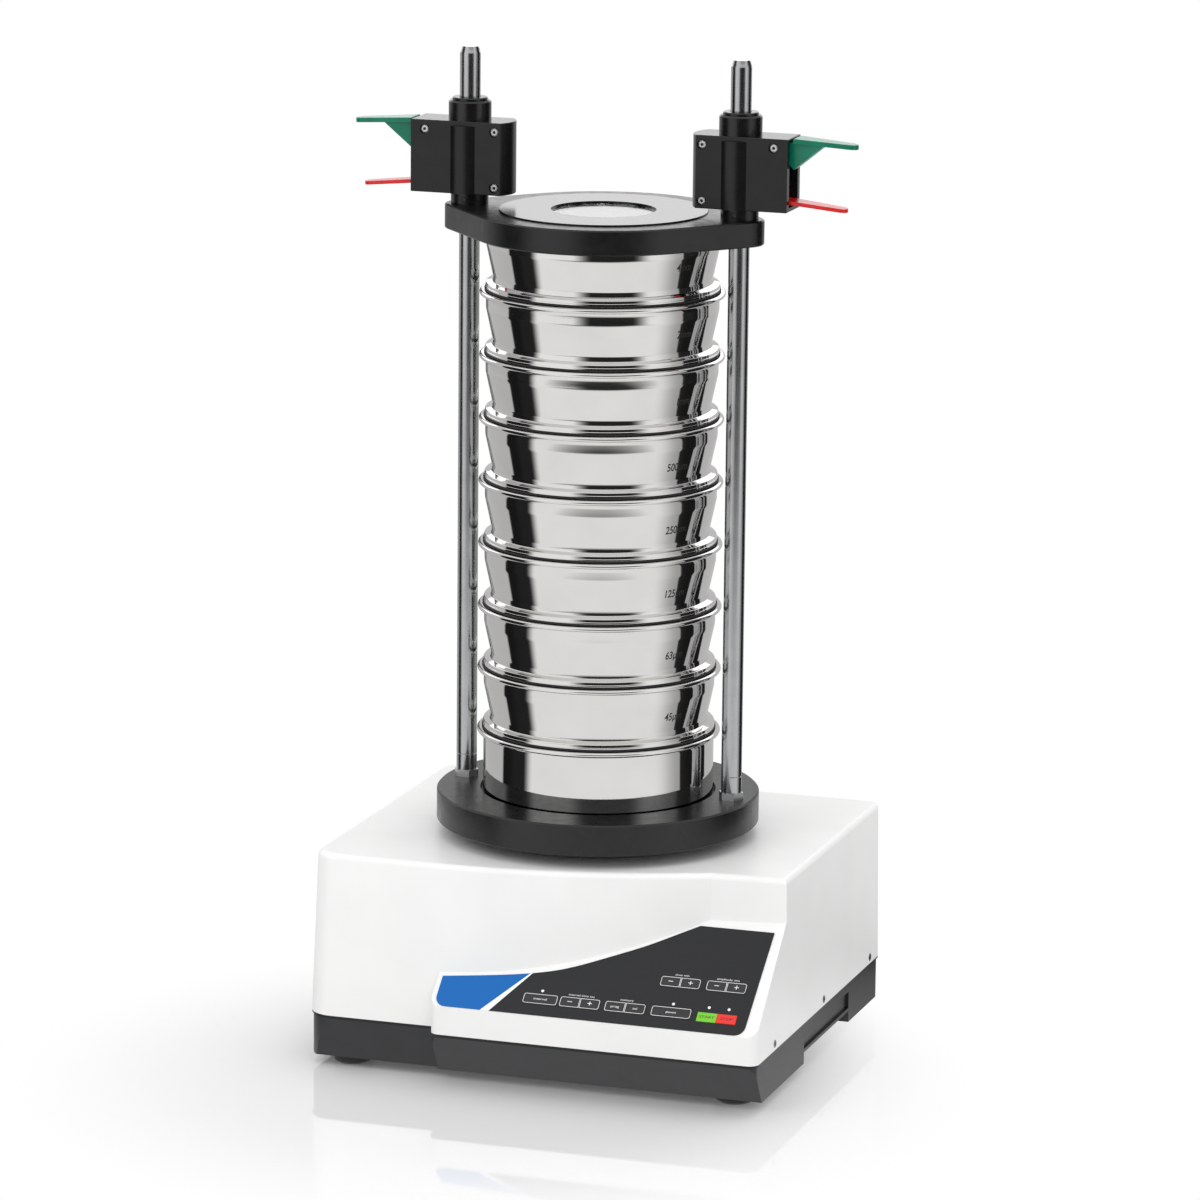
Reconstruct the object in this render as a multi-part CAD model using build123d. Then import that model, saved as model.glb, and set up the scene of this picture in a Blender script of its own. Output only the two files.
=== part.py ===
from build123d import *
import math
import os

os.makedirs("parts", exist_ok=True)

# Sieve shaker. Millimetres, +Z up, X to the right along the front, Y to the rear.
# The origin is on the floor, below the middle of the base.

# How far a cut runs past the surface that it opens
over = 1.0

# Base
base_half_width = 208.5
base_half_depth = 193.0
foot_height = 9.0
foot_radius = 17.0
foot_edge = 2.0
foot_side_inset = 34.5
foot_front_inset = 53.0
foot_rear_inset = 69.0
foot_x = base_half_width - foot_side_inset
foot_front_y = -base_half_depth + foot_front_inset
foot_rear_y = base_half_depth - foot_rear_inset
draft = 2.3
tray_height = 35.0
tray_top = foot_height + tray_height
tray_inset = 1.5
tray_wall = 3.5
tray_floor = 3.0
lip_height = 15.0
lip_wall = 3.0
lip_gap = 0.3
shadow_gap = 1.5
shadow_gap_depth = 1.6
shell_bottom = tray_top
shell_height = 144.0
shell_top = shell_bottom + shell_height
shell_wall = 4.0
shell_edge_radius = 5.0
corner_front_left = 24.0
corner_rear_left = 20.0
corner_rear_right = 14.0
corner_front_right = 4.0
corner_least = 1.0

# Console wedge: its width from the right side, its corners and the tray's toe below it
console_width = 294.5
console_left = base_half_width - console_width
console_corner = 9.0
tray_toe = 23.0
tray_left_toe = 7.0

# Front wall: flat on the left, then one wide arc, then flat again on the right.
# It leans forward towards its foot on the left. Depths are behind the console's front face.
front_top_setback = 32.0
front_low_setback = 22.0
arc_end_setback = 84.0
right_setback = 87.0
arc_start_left = 19.0
arc_end_inset = 68.5
front_top_y = -base_half_depth + front_top_setback
front_low_y = -base_half_depth + front_low_setback
front_arc_end_y = -base_half_depth + arc_end_setback
front_right_y = -base_half_depth + right_setback
front_arc_start = console_left - arc_start_left
front_arc_end = base_half_width - arc_end_inset

# Sloping face of the console: its frame starts at the upper edge, x to the right
slope_angle = 41.48
slope_setback = 81.5
slope_rise = 99.6
panel_from_side = 208.5
slope_top_x = base_half_width - panel_from_side
slope_top_y = -base_half_depth + slope_setback
slope_top_z = tray_top + slope_rise

# Keypad foil, in the frame of the sloping face: x to the right, s down the slope
foil_thickness = 0.8
foil_right = 199.0
foil_right_lean = 3.0
foil_bottom = 107.5
foil_corner = 9.5
# Upper edge of the foil, from its left end to the corner at the top
foil_curve = ((-81.0, 77.5), (-1.0, 65.5), (20.0, 60.0), (63.0, 41.0), (89.0, 28.0), (110.0, 15.6), (133.0, 1.6))
key_gap = 0.15
key_split = 0.2
key_travel = 0.4
key_raise = 0.5
key_depth = 0.9
key_edge = 0.35
pocket_depth = key_depth + key_travel
lamp_radius = 1.3
lamp_depth = 0.5
lamp_raise = 0.3
lamp_s = 82.8
lamp_x = (11.3, 128.7, 160.6, 178.2)
lower_row = 91.3
upper_row = 60.8
start_row = 92.7
key_height = 10.0
start_height = 9.2
# Keys side by side: names, left edge of the first one, width of each, row, height
key_groups = (
    (("key_interval",), -4.0, 30.6, lower_row, key_height),
    (("key_interval_minus", "key_interval_plus"), 29.0, 17.7, lower_row, key_height),
    (("key_program", "key_select"), 69.5, 17.8, lower_row, key_height),
    (("key_pause",), 111.0, 35.2, lower_row, key_height),
    (("key_start", "key_stop"), 152.0, 17.3, start_row, start_height),
    (("key_time_minus", "key_time_plus"), 112.0, 17.5, upper_row, key_height),
    (("key_amplitude_minus", "key_amplitude_plus"), 153.0, 17.5, upper_row, key_height),
)

# Housing screws, three on each side
side_screw_front_inset = 55.0
side_screw_middle = 9.5
side_screw_rear_inset = 38.0
side_screw_y = (
    -base_half_depth + side_screw_front_inset,
    side_screw_middle,
    base_half_depth - side_screw_rear_inset,
)
side_screw_up = 8.5
side_screw_z = shell_bottom + side_screw_up
side_screw_head = 3.6
side_screw_rim = 0.8
side_screw_cone = 1.6
side_screw_shank = 2.0
side_screw_length = 10.0
side_screw_sink = 0.1

# Hand grips in the tray's sides
grip_front = -45.0
grip_rear = 93.0
grip_depth = 22.0
grip_height = 10.0
grip_wall = 3.5
scoop_depth = 2.5
scoop_low = 13.0
scoop_height = 15.0

# Stack axis
stack_y = 5.0

# Drive: magnet under an armature plate on four springs
platform_height = 21.0
platform_margin = 8.0
platform_top = foot_height + platform_height
core_half_x = 50.0
core_half_y = 30.0
core_height = 80.0
core_top = platform_top + core_height
core_slot_floor = 22.0
core_slot_bottom = platform_top + core_slot_floor
core_leg = 16.0
core_slot = 17.0
coil_margin = 0.5
coil_below = 6.0
coil_top = core_top - coil_below
magnet_gap = 8.0
armature_bottom = core_top + magnet_gap
armature_thickness = 12.0
armature_half = 112.0
armature_corner = 30.0
spring_offset = 85.0
spring_radius = 14.0
spring_wire = 2.4
spring_pitch = 11.0
spring_post_height = 51.0
spring_post_top = foot_height + spring_post_height
spring_post_radius = 19.0
column_radius = 45.0
column_gap = 6.0
housing_hole_radius = column_radius + column_gap

# Test sieves, 200 mm class: radii from the drawn wall, heights from the centre of the rim
sieve_count = 8
sieve_pitch = 55.24
wall_radius = 100.8
sheet = 0.7
rim_overhang = 5.5
rim_radius = wall_radius + rim_overhang
rim_half = 2.2
rim_curl = 1.6
rim_bevel = 0.5
rim_root = 0.8
wall_straight = 14.0
neck_step = 5.6
neck_radius = wall_radius - neck_step
neck_land = 0.8
shoulder_step = 0.7
shoulder_radius = wall_radius + shoulder_step
shoulder_bevel = 0.8
seal_step = 0.1
seal_radius = wall_radius + seal_step
nest_gap = 0.5
skirt_radius = wall_radius - sheet - nest_gap
skirt_wall = 1.0
skirt_tip = 0.6
skirt_tip_height = 1.5
seal_height = 2.04
shoulder_height = 4.5
neck_rise = 2.7
mesh_rise = 3.2
skirt_depth = 10.46
seat_z = -sieve_pitch + rim_half
shoulder_bottom = seat_z + seal_height
shoulder_top = shoulder_bottom + shoulder_height
neck_z = shoulder_top + neck_rise
mesh_z = shoulder_bottom + mesh_rise
skirt_bottom = seat_z - skirt_depth
mesh_thickness = 0.6
mesh_grip = 2.3
mesh_radius = neck_radius + mesh_grip
mesh_fold = 0.3
mesh_fold_height = 1.2
mesh_fold_slope = 0.6

# Rods beside the sieves
rod_radius = 9.0
rod_rim_gap = 7.0
rod_x = rim_radius + rod_rim_gap + rod_radius
rod_tip_step = 1.75
rod_tip_length = 5.5
rod_line = 0.4
rod_joint_up = 20.0
nut_flats = 19.0
nut_height = 6.0

# Sieve plate
plate_rod_margin = 10.0
plate_radius = rod_x + rod_radius + plate_rod_margin
ring_gap = 4.5
ring_height = 6.9
ring_step = 23.3
ring_radius = plate_radius - ring_step
ring_bottom = shell_top + ring_gap
plate_bottom = ring_bottom + ring_height
plate_thickness = 27.6
plate_top = plate_bottom + plate_thickness
plate_edge = 1.5
plate_web = 3.0
rod_bottom = plate_bottom + plate_web
plate_recess_depth = 5.0
pan_gap = 2.5
plate_recess_radius = wall_radius + pan_gap

# Collecting pan
pan_height = 58.0
pan_bend = 2.0
pan_bottom = plate_top - plate_recess_depth
pan_rim_z = pan_bottom + pan_height

# Lid
top_rim_z = pan_rim_z + sieve_count * sieve_pitch + rim_half
lid_recess_depth = 9.0
lid_thickness = 22.0
lid_bottom = top_rim_z - lid_recess_depth
lid_top = lid_bottom + lid_thickness
lid_rim_gap = 0.7
lid_recess_radius = rim_radius + lid_rim_gap
lid_wall = 5.5
lid_radius = lid_recess_radius + lid_wall
lid_ear_margin = 12.5
lid_ear_radius = rod_radius + lid_ear_margin
lid_edge = 1.2
lid_rod_gap = 0.4
window_margin = 22.5
window_radius = lid_radius - window_margin
window_gap = 0.3
window_ledge = 6.0
window_seat_radius = window_radius - window_ledge
window_raise = 0.6
window_thickness = 7.0
window_edge = 0.6
dish_radius = 45.5
dish_depth = 3.5

# Guide sleeves and top collars around the rods
sleeve_height = 10.0
sleeve_rod_gap = 0.3
sleeve_bore = rod_radius + sleeve_rod_gap
sleeve_wall = 4.2
sleeve_radius = sleeve_bore + sleeve_wall
sleeve_collar_step = 2.85
sleeve_collar_radius = sleeve_radius + sleeve_collar_step
collar_step = 5.0
collar_radius = sleeve_radius + collar_step
collar_height = 19.5
collar_lip_step = 3.15
collar_lip_radius = collar_radius - collar_lip_step
collar_lip = 2.5
collar_chamfer = 1.5
collar_lip_edge = 0.8

# Clamps, measured outward from the rod
clamp_height = 63.0
clamp_bottom = lid_top + sleeve_height
clamp_top = clamp_bottom + clamp_height
clamp_half_depth = 19.0
clamp_outer = 47.5
clamp_inner = 34.0
clamp_nose = 6.8
clamp_edge = 0.6
barrel_bulge = 3.0
barrel_radius = clamp_half_depth + barrel_bulge
barrel_gap = 4.0
slot_half_width = 12.8
slot_depth = 27.0
slot_floor = 3.5
slot_roof = 2.0
clamp_screw_radius = 3.4
clamp_screw_crown = 1.0
clamp_screw_head = 2.0
clamp_screw_slope = 0.9
clamp_screw_well = 4.4
clamp_screw_sink = 2.2
clamp_screw_shank = 2.0
clamp_screw_length = 14.0
clamp_socket_radius = 1.5
clamp_socket_floor = 0.4
screw_outer_inset = 12.5
screw_inner_inset = 5.4
screw_outer = clamp_outer - screw_outer_inset
screw_inner = -clamp_inner + screw_inner_inset
screw_high = 8.0
screw_low = 6.5
pin_radius = 2.0
pin_half = clamp_half_depth - clamp_screw_sink
pin_gap = 0.05
lever_side_gap = 0.3
rod_spare = 43.9
rod_top = clamp_top + collar_height + rod_spare

# Green clamp levers: blade, web and hub
lever_hub = 5.5
lever_root_gap = 2.5
lever_root_out = clamp_outer + lever_root_gap
lever_reach = 54.5
lever_plate = 4.0
lever_plate_low = 4.0
lever_half_width = 12.0
lever_tip_radius = 7.0
lever_tilt = 4.0
lever_edge = 0.8
web_half_width = 8.0
web_reach = 27.0
web_drop = 27.0
web_overlap = 1.0
web_root = 3.0
web_hub_inset = 1.5

# Red release levers
release_pin_inset = 13.5
release_pin_out = clamp_outer - release_pin_inset
release_pin_up = 9.0
release_hub = 4.0
release_reach = 62.5
release_plate = 3.2
release_half_width = 11.0
release_tip_radius = 7.0
release_tilt = 6.0
release_edge = 0.6

# Circuit board behind the keypad, on four posts
board_right_inset = 38.5
board_width = 160.0
board_front_inset = 27.0
board_depth = 44.0
board_up = 41.0
board_z = foot_height + board_up
board_thickness = 1.6
board_post_radius = 4.0
board_post_inset = 6.0
board_right = base_half_width - board_right_inset
board_front = -base_half_depth + board_front_inset
board_x = (board_right - board_width, board_right)
board_y = (board_front, board_front + board_depth)

# Rear power module: flange, socket with its contacts, rocker switch
module_side_inset = 88.5
module_up = 30.0
module_x = -base_half_width + module_side_inset
module_z = shell_bottom + module_up
module_half_x = 27.0
module_half_z = 15.0
module_depth = 24.0
module_flange = 2.0
module_flange_gap = 0.3
module_margin = 2.0
socket_left = 11.5
socket_x = module_x - socket_left
socket_half_x = 12.0
socket_half_z = 8.5
socket_depth = 18.0
pin_spacing = 7.0
pin_length = 13.0
pin_root = 3.0
pin_low = 1.5
pin_high = 2.5
contact_radius = 1.6
switch_right = 16.0
switch_x = module_x + switch_right
switch_half_x = 7.0
switch_radius = 8.0
switch_face = 5.0
switch_gap = 0.4
switch_tilt = 8.0
switch_pivot_in = 3.0
trunnion_radius = 1.5
trunnion_length = 2.0
trunnion_gap = 0.3


def box(x0, x1, y0, y1, z0, z1):
    """Block between two opposite corners."""
    middle = ((x0 + x1) / 2, (y0 + y1) / 2, (z0 + z1) / 2)
    return Pos(*middle) * Box(x1 - x0, y1 - y0, z1 - z0)


def rod(x, y, z0, z1, radius):
    """Upright cylinder."""
    return Pos(x, y, (z0 + z1) / 2) * Cylinder(radius, z1 - z0)


def turned(points, x=0.0, y=0.0):
    """Closed outline of (radius, height) points turned about an upright axis."""
    outline = make_face(Plane.XZ * Polyline(*points, close=True))
    return Pos(x, y, 0) * revolve(outline, Axis.Z)


def rounded_plan(x0, x1, y0, y1, radii):
    """Rectangle in plan with its own radius at each corner, from front left, clockwise."""
    shape = Pos((x0 + x1) / 2, (y0 + y1) / 2) * Rectangle(x1 - x0, y1 - y0)
    corners = ((x0, y0), (x0, y1), (x1, y1), (x1, y0))
    for corner, radius in zip(corners, radii):
        vertex = shape.vertices().sort_by_distance((corner[0], corner[1], 0))[0]
        shape = fillet(vertex, radius)
    return shape


def front_arc_y(x, front, inset):
    """Depth of the bowed front wall at x; front is the depth of its flat left part."""
    run = front_arc_end - front_arc_start
    rise = front_arc_end_y - front
    radius = (run ** 2 + rise ** 2) / (2 * rise)
    return front + radius - math.sqrt((radius - inset) ** 2 - (x - front_arc_start) ** 2)


def main_plan(inset, front):
    """Plan of the housing without its console."""
    half = base_half_width - inset
    rear = base_half_depth - inset
    left_front = (-half, front + inset)
    arc_start = (front_arc_start, front + inset)
    arc_middle_x = (front_arc_start + front_arc_end) / 2
    arc_middle = (arc_middle_x, front_arc_y(arc_middle_x, front, inset))
    arc_end = (front_arc_end, front_arc_y(front_arc_end, front, inset))
    right_front = (half, front_right_y + inset)
    edges = Polyline(right_front, (half, rear), (-half, rear), left_front, arc_start)
    edges += ThreePointArc(arc_start, arc_middle, arc_end)
    edges += Line(arc_end, right_front)
    shape = make_face(edges)
    corners = (
        (left_front, corner_front_left - inset),
        ((-half, rear), corner_rear_left - inset),
        ((half, rear), corner_rear_right - inset),
        (right_front, max(corner_front_right - inset, corner_least)),
    )
    for corner, radius in corners:
        vertex = shape.vertices().sort_by_distance((corner[0], corner[1], 0))[0]
        shape = fillet(vertex, radius)
    return shape


def console_plan(inset):
    """Plan of the console, from its front face back into the housing."""
    half = base_half_width - inset
    corner = max(console_corner - inset, corner_least)
    front = -base_half_depth + inset
    return rounded_plan(console_left + inset, half, front, 0.0, (corner, corner_least, corner_least, corner))


slope_plane = Plane(
    origin=(slope_top_x, slope_top_y, slope_top_z),
    x_dir=(1, 0, 0),
    z_dir=(0, -math.sin(math.radians(slope_angle)), math.cos(math.radians(slope_angle))),
)


def above_slope(offset):
    """Everything over the sloping face, moved down by offset."""
    reach = 2 * (base_half_width + base_half_depth)
    return slope_plane * Pos(0, 0, reach / 2 - offset) * Box(reach, reach, reach)


def surface_inset(z):
    """How far the drafted sides stand in at height z."""
    return draft * (z - shell_bottom) / (shell_top - shell_bottom)


def front_depth(z):
    """Depth of the flat left part of the front wall at height z."""
    share = (z - shell_bottom) / (shell_top - shell_bottom)
    return front_low_y + (front_top_y - front_low_y) * share


def housing_body(inset, bottom, top):
    """Housing and console as two solids, both narrower at the top."""
    mains = []
    consoles = []
    for z in (bottom, top):
        side = inset + surface_inset(z)
        mains.append(Pos(0, 0, z) * main_plan(side, front_depth(z)))
        consoles.append(Pos(0, 0, z) * console_plan(side))
    main = loft(mains, ruled=True)
    console = loft(consoles, ruled=True)
    return main, console - above_slope(inset)


def tray_plan(inset):
    """Plan of housing and console together at the shell's foot."""
    return main_plan(inset, front_low_y) + console_plan(inset)


def foil_outline():
    """Keypad foil on the sloping face, with a curved upper edge."""
    upper = [(x, -down) for x, down in foil_curve]
    left = upper[0][0]
    low_right = (foil_right - foil_right_lean, -foil_bottom)
    low_left = (left, -foil_bottom)
    edges = Spline(*upper)
    edges += Polyline(upper[-1], (foil_right, upper[-1][1]), low_right, low_left, upper[0])
    shape = make_face(edges)
    for corner in (low_right, low_left):
        vertex = shape.vertices().sort_by_distance((corner[0], corner[1], 0))[0]
        shape = fillet(vertex, foil_corner)
    return shape


def key_faces(gap=0.0):
    """Outline of each key by its name, grown by gap."""
    faces = {}
    for names, first_left, width, row, height in key_groups:
        left = first_left
        for name in names:
            outline = Rectangle(width + 2 * gap, height + 2 * gap)
            faces[name] = Pos(left + width / 2, -row) * outline
            left += width + key_split
    return faces


def key_wells():
    """Outlines of all key openings; neighbouring keys share one opening."""
    faces = list(key_faces(key_gap).values())
    shape = faces[0]
    for face in faces[1:]:
        shape += face
    return shape


def on_slope(face, low, high):
    """Prism on the sloping face between two heights along its normal."""
    return slope_plane * Pos(0, 0, low) * extrude(face, amount=high - low)


def lamp_faces():
    return [Pos(x, -lamp_s) * Circle(lamp_radius) for x in lamp_x]


def make_shell():
    """White housing: hollow, open below, with the console, holes and pockets."""
    main, console = housing_body(0.0, shell_bottom, shell_top)
    outer = main + console
    top_edges = [e for e in outer.edges() if e.bounding_box().min.Z > shell_top - 0.01]
    outer = fillet(top_edges, shell_edge_radius)
    inner_main, inner_console = housing_body(shell_wall, shell_bottom - over, shell_top - shell_wall)
    shell = outer - inner_main - inner_console
    band = extrude(tray_plan(-over), amount=shadow_gap)
    core = extrude(tray_plan(shadow_gap_depth), amount=shadow_gap)
    shell -= Pos(0, 0, shell_bottom) * (band - core)
    shell -= rod(0, stack_y, shell_top - 2 * shell_wall, shell_top + over, housing_hole_radius)
    shell -= on_slope(key_wells(), -pocket_depth, over)
    for face in lamp_faces():
        shell -= on_slope(face, -lamp_depth, over)
    shell -= box(
        module_x - module_half_x,
        module_x + module_half_x,
        base_half_depth - 4 * shell_wall,
        base_half_depth + over,
        module_z - module_half_z,
        module_z + module_half_z,
    )
    for part in side_screw_solids():
        shell -= part
    return shell


def side_screw_solids():
    """Countersunk screws that hold the shell to the tray's lip, three on each side."""
    solids = []
    outline = [
        (0, 0),
        (side_screw_head, 0),
        (side_screw_head, -side_screw_rim),
        (side_screw_shank, -side_screw_rim - side_screw_cone),
        (side_screw_shank, -side_screw_length),
        (0, -side_screw_length),
    ]
    screw = turned(outline)
    surface = base_half_width - surface_inset(side_screw_z) - side_screw_sink
    for side in (-1, 1):
        for y in side_screw_y:
            solids.append(Pos(side * surface, y, side_screw_z) * Rot(0, 90 * side, 0) * screw)
    return solids


def toe_cut(offset, high_y, low_y, x0, x1):
    """Wedge cut away where the tray's front slopes back to the floor."""
    reach = tray_toe + console_corner + over
    outline = Polyline(
        (high_y + offset, tray_top),
        (low_y + offset, foot_height),
        (low_y + offset, foot_height - over),
        (high_y + offset - reach, foot_height - over),
        (high_y + offset - reach, tray_top),
        close=True,
    )
    return Pos(x0, 0, 0) * extrude(make_face(Plane.YZ * outline), amount=x1 - x0, dir=(1, 0, 0))


def toe_cuts(offset):
    """Wedges under the console and under the flat left part."""
    edge = base_half_width + over
    toe_y = -base_half_depth + tray_toe
    left_toe_y = front_low_y + tray_left_toe
    console = toe_cut(offset, -base_half_depth + tray_inset, toe_y, console_left, edge)
    left = toe_cut(offset, front_low_y + tray_inset, left_toe_y, -edge, console_left)
    return console, left


def make_tray():
    """Dark tray: hollow, with the lip inside the shell, grips, posts and a magnet platform."""
    tray = Pos(0, 0, foot_height) * extrude(tray_plan(tray_inset), amount=tray_height)
    for wedge in toe_cuts(0.0):
        tray -= wedge
    hollow_inset = tray_inset + tray_wall
    hollow = Pos(0, 0, foot_height + tray_floor) * extrude(tray_plan(hollow_inset), amount=tray_height)
    for wedge in toe_cuts(tray_wall):
        hollow -= wedge
    tray -= hollow
    lip_inset = shell_wall + lip_gap
    lip_low = tray_top - tray_wall
    lip_top = tray_top + lip_height
    lip_main, lip_console = housing_body(lip_inset, lip_low, lip_top)
    bore_main, bore_console = housing_body(lip_inset + lip_wall, lip_low - over, lip_top + over)
    tray += lip_main + lip_console - bore_main - bore_console
    half = base_half_width - tray_inset
    for side in (-1, 1):
        deep = sorted((side * (half - grip_depth - grip_wall), side * (half - over)))
        shallow = sorted((side * (half - scoop_depth - grip_wall), side * (half - over)))
        wall = (grip_front - grip_wall, grip_rear + grip_wall)
        tray += box(*deep, *wall, foot_height, foot_height + grip_height + grip_wall)
        tray += box(*shallow, *wall, foot_height, tray_top)
    for side in (-1, 1):
        deep = sorted((side * (half - grip_depth), side * (half + over)))
        shallow = sorted((side * (half - scoop_depth), side * (half + over)))
        tray -= box(*deep, grip_front, grip_rear, foot_height - over, foot_height + grip_height)
        scoop_z = foot_height + scoop_low
        tray -= box(*shallow, grip_front, grip_rear, scoop_z, scoop_z + scoop_height)
    half_top = core_half_x + platform_margin
    tray += box(-half_top, half_top, stack_y - half_top, stack_y + half_top, foot_height, platform_top)
    for x in (-spring_offset, spring_offset):
        for y in (stack_y - spring_offset, stack_y + spring_offset):
            tray += rod(x, y, foot_height, spring_post_top, spring_post_radius)
    for x in (board_x[0] + board_post_inset, board_x[1] - board_post_inset):
        for y in (board_y[0] + board_post_inset, board_y[1] - board_post_inset):
            tray += rod(x, y, foot_height, board_z, board_post_radius)
    for part in side_screw_solids():
        tray -= part
    return tray


def make_feet():
    """Four rubber feet with a rounded lower edge."""
    points = [
        (0, 0),
        (foot_radius - foot_edge, 0),
        (foot_radius, foot_edge),
        (foot_radius, foot_height),
        (0, foot_height),
    ]
    return [turned(points, x, y) for x in (-foot_x, foot_x) for y in (foot_front_y, foot_rear_y)]


def make_foil():
    """Printed foil with an opening for each group of keys, trimmed where the wall bows out."""
    main, console = housing_body(0.0, shell_bottom, shell_top)
    foil = on_slope(foil_outline(), 0, foil_thickness) - main
    foil -= on_slope(key_wells(), -over, foil_thickness + over)
    for face in lamp_faces():
        foil -= on_slope(face, -over, foil_thickness + over)
    return foil


def make_key(face):
    key = on_slope(face, -key_depth, foil_thickness + key_raise)
    top = key.faces().sort_by(Axis((0, 0, 0), slope_plane.z_dir))[-1]
    return fillet(top.edges(), key_edge)


def make_lamps():
    return [on_slope(face, -lamp_depth, foil_thickness + lamp_raise) for face in lamp_faces()]


def make_power_module():
    """Rear module: flange on the outside, socket recess and rocker opening."""
    rear = base_half_depth - surface_inset(module_z)
    flange_x = module_half_x + module_margin
    flange_z = module_half_z + module_margin
    inner_rear = base_half_depth - module_depth
    body = box(
        module_x - module_half_x,
        module_x + module_half_x,
        inner_rear,
        rear + module_flange,
        module_z - module_half_z,
        module_z + module_half_z,
    )
    body += box(
        module_x - flange_x,
        module_x + flange_x,
        rear + module_flange_gap,
        rear + module_flange,
        module_z - flange_z,
        module_z + flange_z,
    )
    mouth = rear + module_flange
    body -= box(
        socket_x - socket_half_x,
        socket_x + socket_half_x,
        mouth - socket_depth,
        mouth + over,
        module_z - socket_half_z,
        module_z + socket_half_z,
    )
    opening = switch_half_x + switch_gap
    reach = switch_radius + switch_gap
    pivot = mouth - switch_pivot_in
    body -= box(
        switch_x - opening,
        switch_x + opening,
        pivot - reach,
        mouth + over,
        module_z - reach,
        module_z + reach,
    )
    hole = Pos(switch_x, pivot, module_z) * Rot(0, 90, 0)
    body -= hole * Cylinder(trunnion_radius + pin_gap, 2 * (switch_half_x + trunnion_length + trunnion_gap))
    for part in make_contacts(mouth):
        body -= part
    return body, mouth


def make_contacts(mouth):
    """Three round contacts that stand in the socket, two low and one high."""
    low = module_z - pin_low
    places = [(socket_x - pin_spacing, low), (socket_x + pin_spacing, low), (socket_x, module_z + pin_high)]
    length = pin_length + pin_root
    middle = mouth - socket_depth - pin_root + length / 2
    pin = Rot(90, 0, 0) * Cylinder(contact_radius, length)
    return [Pos(x, middle, z) * pin for x, z in places]


def make_switch(mouth):
    """Rocker with two round trunnions, tipped towards its lower end."""
    pivot = mouth - switch_pivot_in
    wide = 2 * switch_half_x
    drum = Rot(0, 90, 0) * Cylinder(switch_radius, wide)
    reach = 2.5 * switch_radius
    block = Box(wide + 2 * over, reach, reach)
    for sign in (-1, 1):
        drum -= Rot(sign * -switch_tilt, 0, 0) * Pos(0, switch_face + reach / 2, sign * reach / 2) * block
    drum -= Pos(0, -(switch_radius + reach) / 2, 0) * Box(wide + 2 * over, reach, 2 * reach)
    drum += Rot(0, 90, 0) * Cylinder(trunnion_radius, 2 * (switch_half_x + trunnion_length))
    return Pos(switch_x, pivot, module_z) * Rot(switch_tilt, 0, 0) * drum


def make_core():
    """Laminated core with three legs."""
    y0 = stack_y - core_half_y
    y1 = stack_y + core_half_y
    core = box(-core_half_x, core_half_x, y0, y1, platform_top, core_top)
    for side in (-1, 1):
        slot = sorted((side * core_leg, side * (core_leg + core_slot)))
        core -= box(*slot, y0 - over, y1 + over, core_slot_bottom, core_top + over)
    return core


def make_coil():
    inner_x = core_leg + coil_margin
    inner_y = core_half_y + coil_margin
    thick = core_slot - 2 * coil_margin
    outer = RectangleRounded(2 * (inner_x + thick), 2 * (inner_y + thick), thick)
    ring = outer - Rectangle(2 * inner_x, 2 * inner_y)
    return Pos(0, stack_y, core_slot_bottom) * extrude(ring, amount=coil_top - core_slot_bottom)


def make_springs():
    """Four helical springs between the tray's posts and the armature plate."""
    low = spring_post_top + spring_wire
    height = armature_bottom - spring_wire - low
    path = Helix(pitch=spring_pitch, height=height, radius=spring_radius)
    section = Plane(origin=path @ 0, z_dir=path % 0) * Circle(spring_wire)
    coil = sweep(section, path=path, is_frenet=True)
    ends = [(x, y) for x in (-spring_offset, spring_offset) for y in (-spring_offset, spring_offset)]
    return [Pos(x, stack_y + y, low) * coil for x, y in ends]


def make_armature():
    plate = RectangleRounded(2 * armature_half, 2 * armature_half, armature_corner)
    return Pos(0, stack_y, armature_bottom) * extrude(plate, amount=armature_thickness)


def make_column():
    return rod(0, stack_y, armature_bottom + armature_thickness, ring_bottom, column_radius)


def make_plate():
    """Round sieve plate with a recess for the pan, a lower ring and two rod sockets."""
    edge = plate_edge
    points = [
        (0, ring_bottom),
        (ring_radius, ring_bottom),
        (ring_radius, plate_bottom),
        (plate_radius - edge, plate_bottom),
        (plate_radius, plate_bottom + edge),
        (plate_radius, plate_top - edge),
        (plate_radius - edge, plate_top),
        (plate_recess_radius, plate_top),
        (plate_recess_radius, pan_bottom),
        (0, pan_bottom),
    ]
    plate = turned(points, 0, stack_y)
    for side in (-1, 1):
        plate -= rod(side * rod_x, stack_y, rod_bottom, plate_top + over, rod_radius)
    return plate


def make_rods():
    """Two polished rods with a chamfered tip and a fine joint line near the foot."""
    joint_z = plate_top + rod_joint_up
    points = [
        (0, rod_bottom),
        (rod_radius, rod_bottom),
        (rod_radius, joint_z),
        (rod_radius - rod_line, joint_z + rod_line),
        (rod_radius, joint_z + 2 * rod_line),
        (rod_radius, rod_top - rod_tip_length),
        (rod_radius - rod_tip_step, rod_top),
        (0, rod_top),
    ]
    return [turned(points, side * rod_x, stack_y) for side in (-1, 1)]


def make_rod_nuts():
    nuts = []
    for side in (-1, 1):
        hexagon = RegularPolygon(nut_flats / 2, 6, major_radius=False) - Circle(rod_radius)
        nuts.append(Pos(side * rod_x, stack_y, plate_top) * extrude(hexagon, amount=nut_height))
    return nuts


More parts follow.
